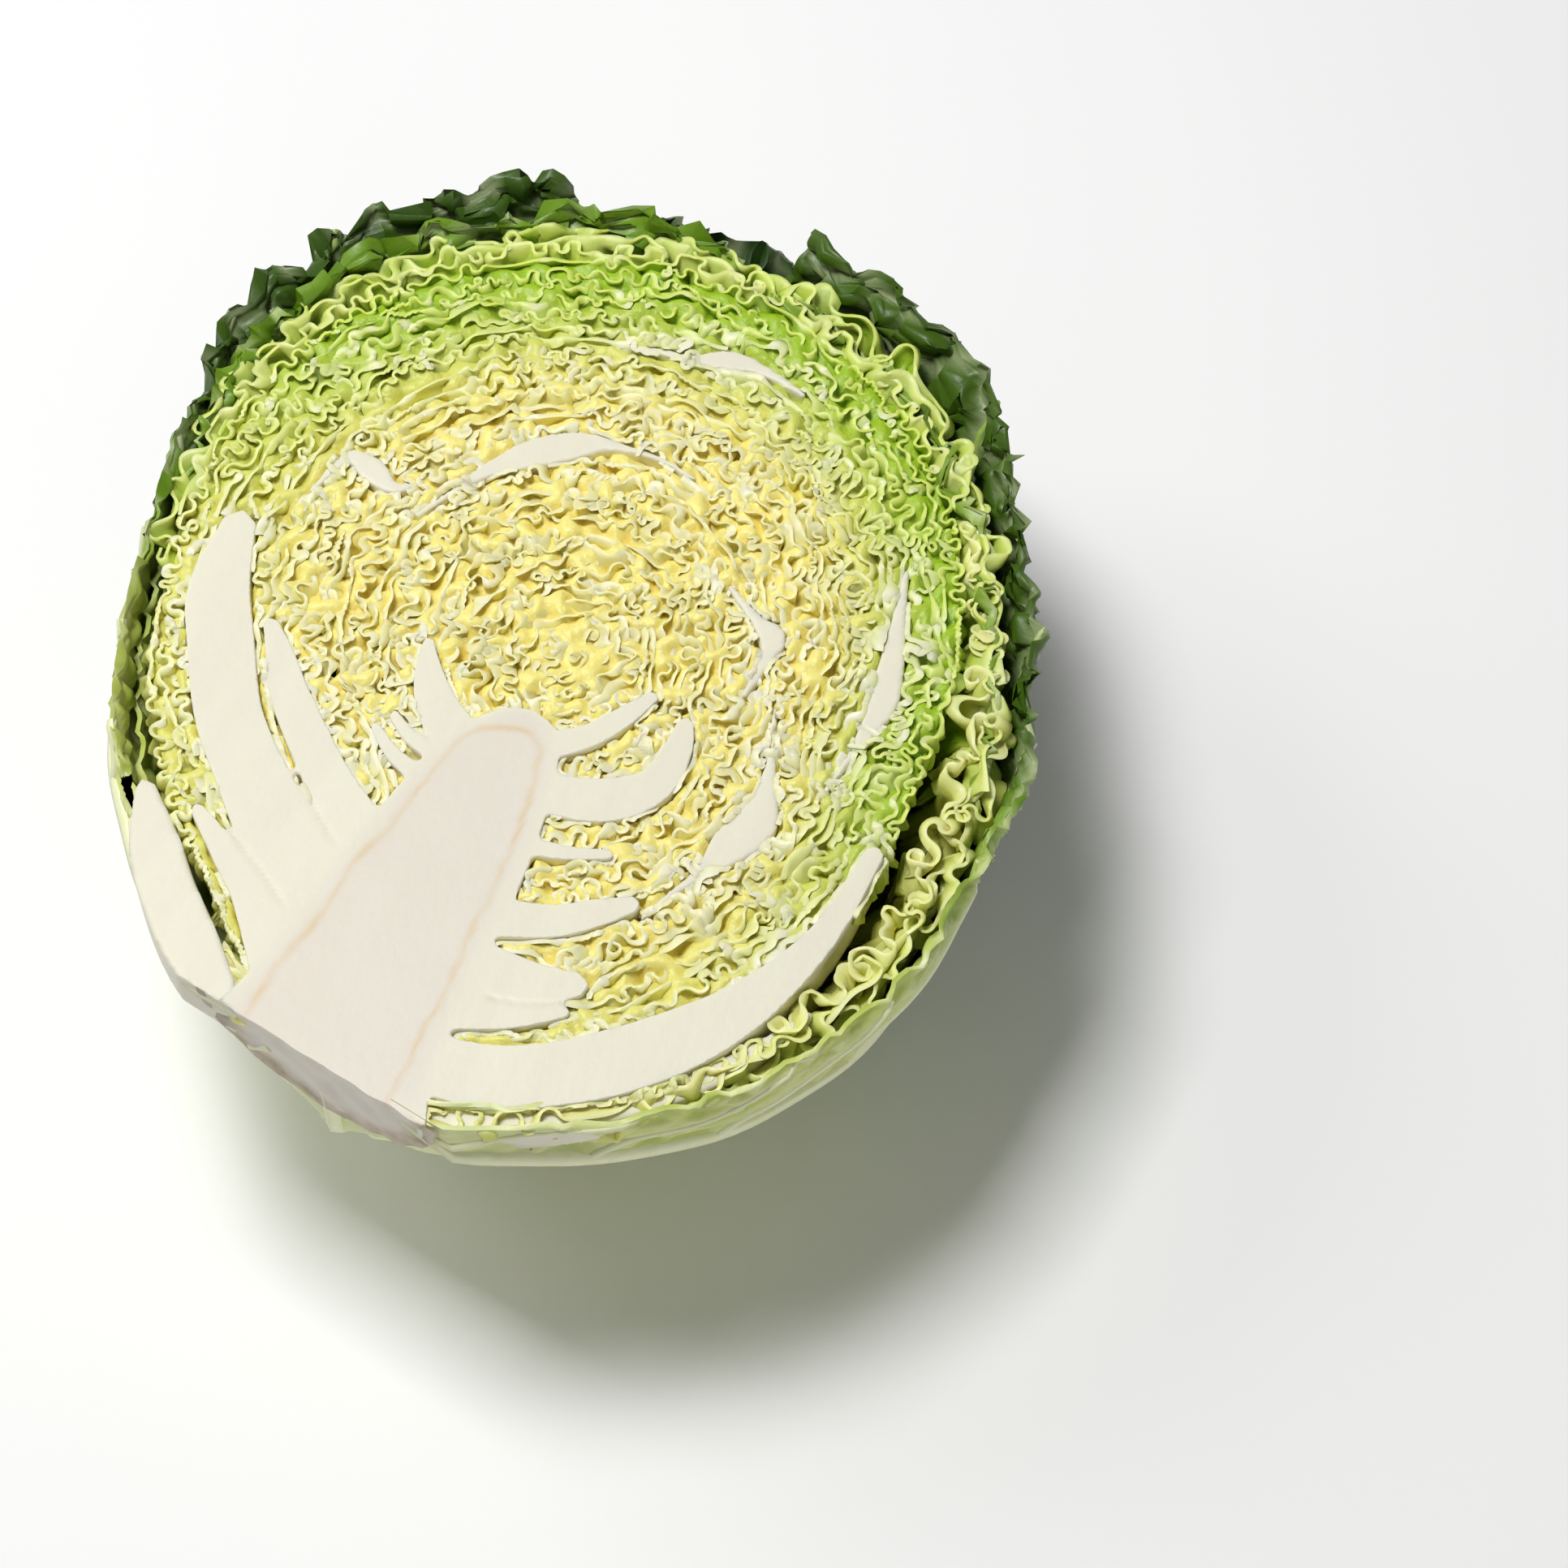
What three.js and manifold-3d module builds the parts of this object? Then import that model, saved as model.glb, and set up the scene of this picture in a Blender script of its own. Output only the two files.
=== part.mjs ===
// Half a savoy cabbage, cut lengthwise through its stem and lying on its rounded back.
// Millimetres. The origin is the middle of the small flat spot that it rests on. +Z is up, and +Y runs
// along the stem towards the tip of the head, so the cut face is the plane z = CUT_Z.
import * as THREE from "three";
import { mergeVertices } from "three/addons/utils/BufferGeometryUtils.js";
import Module from "manifold-3d";

const CUT_Z = 76;
const CLEARANCE = 0.5;
const WALL_CLEARANCE = 0.8;

// Distance from the middle of the cut face to the tight head's edge, and to the wrapper leaves' inner
// face, every 30 degrees round from +X.
const HEAD_RADII = [71.5, 76, 83.5, 88, 88, 82, 72.5, 70.3, 72.5, 85.5, 86, 79.5];
const WRAPPER_RADII = [82.4, 80.6, 84.8, 89.2, 89.2, 83, 73.2, 71.2, 74.6, 86, 87, 86.8];
const HEAD_DEPTH = 68.3;
const WRAPPER_DEPTH = 69.2;
// The head is as round as an ellipse at its tip and tapers more towards the stem.
const ROUNDNESS = { tip: 2, stem: 1.68 };
const GROWING_POINT = new THREE.Vector2(5, 1);

// The packed leaves: how many show between the growing point and the edge, and how each one waves.
const LEAF_EDGE = 1.3;
const GAP_DEPTH = 7;
const CRINKLE = 1.5;
const WALL_DIPS = [20, 45, 70];

// The stem is cut off square to its length, a little askew.
const BUTT_Y = -87.3;
const BUTT_SLOPE = -0.167;

// Core outline on the cut face: [y, middle x, half width].
const CORE_SECTIONS = [
  [-96, -1, 25],
  [-86, -1, 21],
  [-77, -0.5, 18.5],
  [-62, 0.5, 17],
  [-47, 1, 15.7],
  [-37, 1.7, 14.2],
  [-26, 2, 12],
  [-17, 2.8, 8.8],
  [-12, 3.2, 5],
  [-10.5, 3.3, 1.5],
];
const CORE_SIDES = 10;
const CORE_FLATNESS = 0.76;

// Leaf ribs that the cut runs along, grown on the core: points [x, y, half width] from the core outwards.
const LEFT_RIBS = [
  [[-5, -22, 4.5], [-12.5, -16.5, 3.8], [-17, -11, 2.6], [-20, -5, 1]],
  [[-7, -25.5, 1.8], [-14, -24, 1.3], [-19, -21, 0.9]],
  [[-8, -30.5, 2], [-15, -28.5, 1.4], [-21, -24.5, 0.9]],
  [[-11, -46.5, 5.4], [-23, -38, 4.2], [-36.5, -26, 3.6], [-42, -19.5, 2.8], [-47.5, -13, 1.4]],
  [[-12, -60, 7.4], [-27, -50, 7], [-37, -41.5, 6.2], [-46, -32.5, 6], [-54, -20, 6], [-59.5, -10, 5.6], [-62.5, 4, 3]],
  [[-14, -73, 6], [-25, -63, 4], [-32, -58.5, 2.8], [-42, -52, 1.2]],
];
const RIGHT_RIBS = [
  [[7, -17, 3], [14, -11.5, 2.4], [18.5, -5, 2], [21.5, 1, 1.2]],
  [[8, -24.5, 3.5], [18, -23.3, 4.2], [25, -20, 4.2], [29.5, -14.5, 3.4], [30, -7, 2.6], [29, -1.5, 1.4]],
  [[11, -35.5, 2], [20, -34, 1.4], [28, -31, 0.9]],
  [[12, -51, 4], [24, -47, 3.2], [31, -42, 2.6], [36, -38, 1.5]],
  [[12, -60.5, 5.5], [25, -59.5, 4.5], [34, -56, 2.2]],
  [[12, -70, 4.4], [25, -66, 2.8], [34, -61.5, 1.1]],
  [[13, -80.5, 5.5], [27, -78, 6], [37, -73, 6], [47, -65.5, 6.2], [56, -56, 5.6], [63, -45, 4.2], [68.3, -30, 2.6], [70, -12, 1.8]],
];
const RIB_DEPTH = 10;

// Ribs that the cut crosses: white islands among the packed leaves.
const INNER_ISLANDS = [
  [[-26, 33, 1.6], [-20, 39.5, 3.2], [-13, 44.5, 2.8], [-8, 46.5, 1.2]],
  [[44, -27, 1.4], [46, -21, 3.6], [48.5, -14.5, 3.8], [47.5, -8, 1.8]],
  [[31, 23.5, 1.2], [35.5, 21, 2.6], [36.5, 16.5, 1.3]],
  [[-51, 24.5, 1.3], [-46, 24, 2.6], [-41, 22, 1.5]],
];
const OUTER_ISLANDS = [
  [[54.5, 35, 1.2], [57, 26, 2.2], [59, 17, 2.8], [59, 11.5, 1.8]],
  [[-2, 70, 1.2], [4, 72.5, 2.2], [11, 73, 1.2]],
];
const ISLAND_DEPTH = 14;

// The thick midrib of the leaf that wraps the left side, also split by the cut.
const WRAPPER_RIB = [[-19, -85, 3], [-30, -76.5, 5], [-39, -68.5, 5], [-46, -60.5, 4.4], [-52.5, -51.5, 1.8]];

// Wrapper leaves, angles in degrees: midrib is how far under the head from +X its midrib runs, reach is
// how far over the head it goes from the stem, spread is half its width, lift is how far it stands off
// the innermost wrapper's place, relief is the height of its blisters, and rib that of its midrib.
const WRAPPER_THICKNESS = 0.8;
const WRAPPERS = [
  {
    name: "wrapper_inner_right",
    shape: { midrib: 52, reach: 176, spread: 50, lift: 0.5, relief: 0.6, rib: 0 },
    seed: 11,
    colour: 0x8fae4e,
  },
  {
    name: "wrapper_inner_left",
    shape: { midrib: 128, reach: 176, spread: 50, lift: 2.6, relief: 0.6, rib: 0 },
    seed: 12,
    colour: 0x7ea246,
  },
  {
    name: "wrapper_right",
    shape: { midrib: 26, reach: 176, spread: 48, lift: 4.7, relief: 0.7, rib: 1.2 },
    seed: 13,
    colour: 0xbfce8c,
  },
  {
    name: "wrapper_left",
    shape: { midrib: 170, reach: 158, spread: 44, lift: 4.7, relief: 0.7, rib: 0 },
    seed: 14,
    colour: 0x5d8a3c,
  },
  {
    name: "wrapper_bottom",
    shape: { midrib: 90, reach: 173, spread: 52, lift: 6.8, relief: 1.2, rib: 1.8 },
    seed: 15,
    colour: 0x4d7a38,
  },
];
const WRAPPER_ALONG = 16;
const WRAPPER_ACROSS = 12;
// Round the tip of the head the wrappers are loose near the cut face: between which angles, how far
// below the face, how much further apart they stand there, and how far their edges wave.
const LOOSE_ANGLES = [36, 66, 140, 170];
const LOOSE_DIP = 40;
const LOOSE_SPREAD = 1.3;
const LOOSE_WAVE = 1.4;
const LOOSE_WAVE_ANGLE = 26;

const wasm = await Module();
wasm.setup();

// A repeatable random number generator, 0 to 1.
function randomFrom(seed) {
  let state = seed * 2654435761;
  return () => {
    state = (state + 0x6d2b79f5) | 0;
    let mixed = Math.imul(state ^ (state >>> 15), 1 | state);
    mixed = (mixed + Math.imul(mixed ^ (mixed >>> 7), 61 | mixed)) ^ mixed;
    return ((mixed ^ (mixed >>> 14)) >>> 0) / 4294967296;
  };
}

function solidOf(geometry) {
  const bare = geometry.clone();
  bare.deleteAttribute("normal");
  bare.deleteAttribute("uv");
  const merged = mergeVertices(bare, 1e-4);
  const solid = new wasm.Manifold(
    new wasm.Mesh({
      numProp: 3,
      vertProperties: new Float32Array(merged.attributes.position.array),
      triVerts: new Uint32Array(merged.index.array),
    }),
  );
  return solid;
}

// A closed geometry from points and triangles, turned to face outwards.
function closedGeometry(points, triangles) {
  let volume = 0;
  for (const [a, b, c] of triangles) {
    volume += points[a].dot(points[b].clone().cross(points[c]));
  }
  const facing = volume > 0 ? triangles : triangles.map(([a, b, c]) => [a, c, b]);
  const geometry = new THREE.BufferGeometry().setFromPoints(points);
  geometry.setIndex(facing.flat());
  return geometry;
}

// The largest single body of a solid: scraps that a cut leaves loose are dropped.
function largestBody(solid) {
  return solid.decompose().reduce((best, body) => (body.volume() > best.volume() ? body : best));
}

function meshOf(name, solid, colour, roughness) {
  const mesh = largestBody(solid).getMesh();
  const geometry = new THREE.BufferGeometry();
  geometry.setAttribute("position", new THREE.BufferAttribute(mesh.vertProperties, 3));
  geometry.setIndex(new THREE.BufferAttribute(mesh.triVerts, 1));
  geometry.computeVertexNormals();
  const material = new THREE.MeshStandardMaterial({ color: colour, roughness, metalness: 0 });
  const made = new THREE.Mesh(geometry, material);
  made.name = name;
  return made;
}

// A radius between the stated ones, smooth all the way round.
function radiusAt(radii, angle) {
  const count = radii.length;
  const place = ((((angle / (2 * Math.PI)) % 1) + 1) % 1) * count;
  const start = Math.floor(place);
  const f = place - start;
  const [p0, p1, p2, p3] = [-1, 0, 1, 2].map((step) => radii[(start + step + count) % count]);
  return (
    0.5 *
    (2 * p1 +
      (p2 - p0) * f +
      (2 * p0 - 5 * p1 + 4 * p2 - p3) * f * f +
      (3 * p1 - p0 - 3 * p2 + p3) * f * f * f)
  );
}

function roundnessAt(angle) {
  return THREE.MathUtils.lerp(ROUNDNESS.tip, ROUNDNESS.stem, Math.max(0, -Math.sin(angle)));
}

// A point on the outer form of the tight head, at share of its size about the growing point, below
// the cut face, pushed outwards by a distance.
function headPoint(share, angle, below, push) {
  const depth = share * HEAD_DEPTH;
  const roundness = roundnessAt(angle);
  const narrowing = Math.max(0, 1 - (below / depth) ** roundness) ** (1 / roundness);
  const radius = share * radiusAt(HEAD_RADII, angle) * narrowing + push;
  return new THREE.Vector3(
    GROWING_POINT.x * (1 - share) + radius * Math.cos(angle),
    GROWING_POINT.y * (1 - share) + radius * Math.sin(angle),
    CUT_Z - below,
  );
}

// The same form, at a dip below the cut face in degrees, standing off it on all sides by a clearance.
function headWall(share, angle, dip, clearance) {
  const taper = 2 / roundnessAt(angle);
  const radius = (share * radiusAt(HEAD_RADII, angle) + clearance) * Math.cos(dip) ** taper;
  const below = (share * HEAD_DEPTH + clearance) * Math.sin(dip) ** taper;
  return new THREE.Vector3(
    GROWING_POINT.x * (1 - share) + radius * Math.cos(angle),
    GROWING_POINT.y * (1 - share) + radius * Math.sin(angle),
    CUT_Z - below,
  );
}

// The valley between two leaves is shallower near the growing point.
function valleyBelow(share) {
  return Math.min(GAP_DEPTH, 0.6 * share * HEAD_DEPTH);
}

// A solid of rings with the same number of points, closed at both ends by a point. Walls on the two
// sides of one leaf are split into triangles alike.
function ringSolid(first, rings, last) {
  const columns = rings[0].length;
  const points = [first, ...rings.flat(), last];
  const triangles = [];
  const at = (ring, column) => 1 + ring * columns + (column % columns);
  for (let column = 0; column < columns; column++) {
    triangles.push([0, at(0, column + 1), at(0, column)]);
    triangles.push([points.length - 1, at(rings.length - 1, column), at(rings.length - 1, column + 1)]);
    for (let ring = 0; ring + 1 < rings.length; ring++) {
      const [a, b] = [at(ring, column), at(ring, column + 1)];
      const [c, d] = [at(ring + 1, column), at(ring + 1, column + 1)];
      if (rings[ring][column].z < rings[ring + 1][column].z) {
        triangles.push([a, b, d], [a, d, c]);
      } else {
        triangles.push([a, b, c], [b, d, c]);
      }
    }
  }
  return solidOf(closedGeometry(points, triangles));
}

// A bowl of packed leaves between two shares of the head's size, each leaf a waved wall with its cut
// edge on the cut face. The first bowl has no hollow and starts at the growing point.
function packedLeaves({ from, to, leaves, columns, seed }) {
  const random = randomFrom(seed);
  const angles = Array.from({ length: columns }, (_, column) => (column / columns) * 2 * Math.PI);
  const plainRing = (share, push) =>
    angles.map((angle) => headPoint(share, angle, valleyBelow(share), push));
  const wallRing = (share, dip, clearance) =>
    angles.map((angle) => headWall(share, angle, THREE.MathUtils.degToRad(dip), clearance));
  const rings = [];
  const hollow = from > 0;
  if (hollow) {
    for (const dip of [...WALL_DIPS].reverse()) rings.push(wallRing(from, dip, WALL_CLEARANCE));
    rings.push(plainRing(from, WALL_CLEARANCE));
  }
  const step = (to - from) / leaves;
  for (let leaf = 0; leaf < leaves; leaf++) {
    const share = from + step * (leaf + 1);
    const isLast = leaf === leaves - 1;
    const foot = valleyBelow(share);
    const crinkle = Math.min(CRINKLE, 0.16 * share * HEAD_DEPTH);
    const push = angles.map((_, column) => {
      const side = (column + leaf) % 2 ? 1 : -1;
      return crinkle * (side * (0.55 + 0.45 * random()) + 0.5 * (random() - 0.5));
    });
    const waved = (below, inset, amount) =>
      angles.map((angle, column) => headPoint(share, angle, below, push[column] * amount - inset));
    rings.push(waved(foot, 1.4 * LEAF_EDGE, 0.5));
    rings.push(waved(0, LEAF_EDGE, 1));
    rings.push(waved(0, 0, 1));
    rings.push(isLast ? plainRing(share, 0) : waved(foot, 0, 0.5));
  }
  for (const dip of WALL_DIPS) rings.push(wallRing(to, dip, 0));
  const top = new THREE.Vector3(GROWING_POINT.x, GROWING_POINT.y, CUT_Z - 1);
  const innerPole = headWall(from, 0, Math.PI / 2, WALL_CLEARANCE);
  const outerPole = headWall(to, 0, Math.PI / 2, 0);
  return ringSolid(hollow ? innerPole : top, rings, outerPole);
}

// A strip along points [x, y, half width], from the cut face down, grown all round by a clearance.
function stripSolid(points, depth, grow) {
  const line = new THREE.CatmullRomCurve3(points.map(([x, y, half]) => new THREE.Vector3(x, y, half)));
  const samples = line.getPoints(2 * points.length);
  const left = [];
  const right = [];
  samples.forEach((point, index) => {
    const ahead = samples[Math.min(index + 1, samples.length - 1)];
    const behind = samples[Math.max(index - 1, 0)];
    const along = new THREE.Vector2(ahead.x - behind.x, ahead.y - behind.y).normalize();
    const end = index === 0 ? -1 : index === samples.length - 1 ? 1 : 0;
    const half = point.z + grow;
    const middle = new THREE.Vector2(point.x, point.y).addScaledVector(along, end * grow);
    left.push(new THREE.Vector2(middle.x - along.y * half, middle.y + along.x * half));
    right.push(new THREE.Vector2(middle.x + along.y * half, middle.y - along.x * half));
  });
  const shape = new THREE.Shape([...left, ...right.reverse()]);
  const geometry = new THREE.ExtrudeGeometry(shape, { depth: depth + grow, bevelEnabled: false, curveSegments: 1 });
  geometry.translate(0, 0, CUT_Z - depth - grow);
  return solidOf(geometry);
}

// The core below the cut face: half-round sections along the stem.
function coreSolid(grow) {
  const points = [];
  const triangles = [];
  for (const [y, middle, half] of CORE_SECTIONS) {
    for (let side = 0; side <= CORE_SIDES; side++) {
      const turn = (side / CORE_SIDES) * Math.PI;
      const reach = half + grow;
      const below = (half * CORE_FLATNESS + grow) * Math.sin(turn);
      points.push(new THREE.Vector3(middle + reach * Math.cos(turn), y, CUT_Z - below));
    }
  }
  const tip = CORE_SECTIONS.at(-1);
  points.push(new THREE.Vector3(CORE_SECTIONS[0][1], CORE_SECTIONS[0][0], CUT_Z));
  points.push(new THREE.Vector3(tip[1], tip[0] + grow, CUT_Z));
  const row = CORE_SIDES + 1;
  const lastRow = (CORE_SECTIONS.length - 1) * row;
  const [backMiddle, tipMiddle] = [points.length - 2, points.length - 1];
  for (let start = 0; start < lastRow; start += row) {
    for (let side = 0; side < CORE_SIDES; side++) {
      const a = start + side;
      triangles.push([a, a + 1, a + row + 1], [a, a + row + 1, a + row]);
    }
    const [leftEdge, rightEdge] = [start + CORE_SIDES, start];
    triangles.push([leftEdge, rightEdge, rightEdge + row], [leftEdge, rightEdge + row, leftEdge + row]);
  }
  for (let side = 0; side < CORE_SIDES; side++) {
    triangles.push([backMiddle, side + 1, side]);
    triangles.push([tipMiddle, lastRow + side, lastRow + side + 1]);
  }
  triangles.push([backMiddle, 0, CORE_SIDES], [tipMiddle, lastRow + CORE_SIDES, lastRow]);
  return solidOf(closedGeometry(points, triangles));
}

function coreAndRibs(grow) {
  const ribs = [...LEFT_RIBS, ...RIGHT_RIBS].map((rib) => stripSolid(rib, RIB_DEPTH, grow));
  return ribs.reduce((sum, rib) => sum.add(rib), coreSolid(grow));
}

function islandSolids(islands, grow) {
  return islands.map((island) => stripSolid(island, ISLAND_DEPTH, grow));
}

// Keeps what lies in front of the butt, where the stem was cut off.
function trimButt(solid) {
  const length = Math.hypot(1, BUTT_SLOPE);
  return solid.trimByPlane([-BUTT_SLOPE / length, 1 / length, 0], BUTT_Y / length);
}

// A point on the wrappers' form in a direction from the middle of the cut face, standing off it by a
// lift and a thickness. Round the tip of the head the leaves spread out and wave towards their edges.
function wrapperPoint(direction, lift, thickness) {
  const { degToRad, smoothstep } = THREE.MathUtils;
  const dip = Math.asin(THREE.MathUtils.clamp(-direction.z, 0, 1));
  const angle = Math.atan2(direction.y, direction.x);
  const [riseFrom, riseTo, fallFrom, fallTo] = LOOSE_ANGLES.map(degToRad);
  const round = smoothstep(angle, riseFrom, riseTo) * (1 - smoothstep(angle, fallFrom, fallTo));
  const loose = round * Math.max(0, 1 - dip / degToRad(LOOSE_DIP)) ** 1.5;
  const wave = LOOSE_WAVE * Math.sin((2 * Math.PI * angle) / degToRad(LOOSE_WAVE_ANGLE));
  const out = lift * (1 + LOOSE_SPREAD * loose) + (1 + wave) * loose + thickness;
  const taper = 2 / roundnessAt(angle);
  const radius = (radiusAt(WRAPPER_RADII, angle) + out) * Math.cos(dip) ** taper;
  const below = (WRAPPER_DEPTH + out) * Math.sin(dip) ** taper;
  return new THREE.Vector3(radius * Math.cos(angle), radius * Math.sin(angle), CUT_Z - below);
}

// How wide a wrapper leaf is along its length: a narrow stalk, a round blade and a blunt tip.
function leafWidth(along) {
  const widest = 0.6;
  if (along < widest) return 0.3 + 0.7 * Math.sin((along / widest) * (Math.PI / 2));
  return Math.sqrt(1 - 0.88 * ((along - widest) / (1 - widest)) ** 2);
}

function wrapperSolid({ shape: { midrib, reach, spread, lift, relief, rib }, seed }) {
  const random = randomFrom(seed);
  const { degToRad, lerp } = THREE.MathUtils;
  const stalk = new THREE.Vector3(0, -1, 0);
  const under = new THREE.Vector3(Math.cos(degToRad(midrib)), 0, -Math.sin(degToRad(midrib)));
  const across = new THREE.Vector3().crossVectors(under, stalk);
  const faces = [[], []];
  for (let row = 0; row <= WRAPPER_ALONG; row++) {
    const along = row / WRAPPER_ALONG;
    const over = degToRad(lerp(8, reach, along));
    const half = degToRad(spread) * leafWidth(along);
    const spine = stalk.clone().multiplyScalar(Math.cos(over)).addScaledVector(under, Math.sin(over));
    for (let column = 0; column <= WRAPPER_ACROSS; column++) {
      const turn = half * ((2 * column) / WRAPPER_ACROSS - 1);
      const direction = spine.clone().multiplyScalar(Math.cos(turn)).addScaledVector(across, Math.sin(turn));
      const clearOfFoot = THREE.MathUtils.smoothstep(1 + direction.z, 0.05, 0.15);
      const isRaised = (row + column) % 2 === 1;
      const blister = relief * (isRaised ? 0.6 + 0.4 * random() : 0.15 * random());
      const isMidrib = column === WRAPPER_ACROSS / 2;
      const raised = clearOfFoot * Math.max(blister, isMidrib ? rib * (1 - 0.6 * along) : 0);
      const inner = wrapperPoint(direction, lift, 0);
      const outer = wrapperPoint(direction, lift, WRAPPER_THICKNESS + raised);
      if (direction.z > 0) {
        inner.z = CUT_Z + 6 * direction.z;
        outer.z = inner.z;
      }
      inner.z = Math.max(inner.z, 1);
      faces[0].push(inner);
      faces[1].push(outer);
    }
  }
  const size = faces[0].length;
  const row = WRAPPER_ACROSS + 1;
  const triangles = [];
  for (let start = 0; start + row < size; start += row) {
    for (let column = 0; column < WRAPPER_ACROSS; column++) {
      const [a, b, c, d] = [start + column, start + column + 1, start + column + row, start + column + row + 1];
      triangles.push([a, b, d], [a, d, c], [size + a, size + d, size + b], [size + a, size + c, size + d]);
    }
  }
  const rim = [];
  for (let column = 0; column < WRAPPER_ACROSS; column++) rim.push(column);
  for (let start = WRAPPER_ACROSS; start < size - 1; start += row) rim.push(start);
  for (let column = WRAPPER_ACROSS; column > 0; column--) rim.push(size - row + column);
  for (let start = size - row; start > 0; start -= row) rim.push(start);
  rim.forEach((a, index) => {
    const b = rim[(index + 1) % rim.length];
    triangles.push([b, a, size + a], [b, size + a, size + b]);
  });
  const solid = solidOf(closedGeometry([...faces[0], ...faces[1]], triangles));
  return trimButt(solid).trimByPlane([0, 0, -1], -CUT_Z).trimByPlane([0, 0, 1], 0);
}

// The loose leaf that stands ruffled in the gap between the tight head and the right wrapper.
const RUFFLED_ANGLES = [-54, 40];
const RUFFLED_DIPS = [1, 12, 26, 42];
const RUFFLED_COLUMNS = 42;
function ruffledLeaf() {
  const random = randomFrom(21);
  const { degToRad, lerp } = THREE.MathUtils;
  const faces = [[], []];
  RUFFLED_DIPS.forEach((dip, row) => {
    for (let column = 0; column <= RUFFLED_COLUMNS; column++) {
      const angle = degToRad(lerp(...RUFFLED_ANGLES, column / RUFFLED_COLUMNS));
      const inside = radiusAt(HEAD_RADII, angle);
      const gap = radiusAt(WRAPPER_RADII, angle) - inside;
      const wave = (column % 2 ? 1 : -1) * (0.6 + 0.4 * random()) * 0.17 * gap * (1 - 0.25 * row);
      [0, WRAPPER_THICKNESS].forEach((thickness, face) => {
        const taper = 2 / roundnessAt(angle);
        const radius = (inside + 0.45 * gap + wave + thickness) * Math.cos(degToRad(dip)) ** taper;
        const below = (HEAD_DEPTH + 0.45 * gap) * Math.sin(degToRad(dip)) ** taper;
        faces[face].push(new THREE.Vector3(radius * Math.cos(angle), radius * Math.sin(angle), CUT_Z - below));
      });
    }
  });
  const row = RUFFLED_COLUMNS + 1;
  const size = faces[0].length;
  const triangles = [];
  for (let start = 0; start + row < size; start += row) {
    for (let column = 0; column < RUFFLED_COLUMNS; column++) {
      const [a, b, c, d] = [start + column, start + column + 1, start + column + row, start + column + row + 1];
      triangles.push([a, b, d], [a, d, c], [size + a, size + d, size + b], [size + a, size + c, size + d]);
    }
    const [left, right] = [start, start + RUFFLED_COLUMNS];
    triangles.push([left, left + row, size + left + row], [left, size + left + row, size + left]);
    triangles.push([right + row, right, size + right], [right + row, size + right, size + right + row]);
  }
  for (let column = 0; column < RUFFLED_COLUMNS; column++) {
    const [top, bottom] = [column, size - row + column];
    triangles.push([top + 1, top, size + top], [top + 1, size + top, size + top + 1]);
    triangles.push([bottom, bottom + 1, size + bottom + 1], [bottom, size + bottom + 1, size + bottom]);
  }
  return solidOf(closedGeometry([...faces[0], ...faces[1]], triangles));
}

const cabbage = new THREE.Group();
const core = trimButt(coreAndRibs(0));
const coreRoom = coreAndRibs(CLEARANCE).add(stripSolid(WRAPPER_RIB, RIB_DEPTH, CLEARANCE));
const cutFrom = (solid, others) => others.reduce((left, other) => left.subtract(other), solid);

cabbage.add(meshOf("core_and_ribs", core, 0xefe8da, 0.45));

const heart = packedLeaves({ from: 0, to: 0.4, leaves: 4, columns: 32, seed: 1 });
cabbage.add(meshOf("heart_leaves", heart.subtract(coreRoom), 0xe6dc98, 0.5));

const inner = packedLeaves({ from: 0.4, to: 0.74, leaves: 4, columns: 56, seed: 2 });
const innerLeaves = cutFrom(inner, islandSolids(OUTER_ISLANDS, CLEARANCE));
const innerIslands = islandSolids(INNER_ISLANDS, 0);
const innerWhole = innerIslands.reduce((sum, island) => sum.add(island), innerLeaves);
cabbage.add(meshOf("inner_leaves", innerWhole.subtract(coreRoom), 0xe2dd9a, 0.5));

const outer = packedLeaves({ from: 0.74, to: 1, leaves: 3, columns: 74, seed: 3 });
const outerLeaves = cutFrom(outer, islandSolids(INNER_ISLANDS, CLEARANCE));
const outerIslands = islandSolids(OUTER_ISLANDS, 0);
const outerWhole = outerIslands.reduce((sum, island) => sum.add(island), outerLeaves);
cabbage.add(meshOf("outer_head_leaves", trimButt(outerWhole.subtract(coreRoom)), 0xa9c258, 0.5));

cabbage.add(meshOf("ruffled_leaf", ruffledLeaf().subtract(coreRoom), 0xb4cc4e, 0.5));

for (const wrapper of WRAPPERS) {
  let leaf = wrapperSolid(wrapper);
  if (wrapper.name === "wrapper_left") {
    leaf = leaf.add(trimButt(stripSolid(WRAPPER_RIB, RIB_DEPTH, 0))).subtract(coreAndRibs(CLEARANCE));
  } else {
    leaf = leaf.subtract(coreRoom);
  }
  cabbage.add(meshOf(wrapper.name, leaf, wrapper.colour, 0.55));
}

export default cabbage;
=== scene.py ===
"""Half a savoy cabbage, cut lengthwise and lying on its rounded back, cut face up."""

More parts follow.
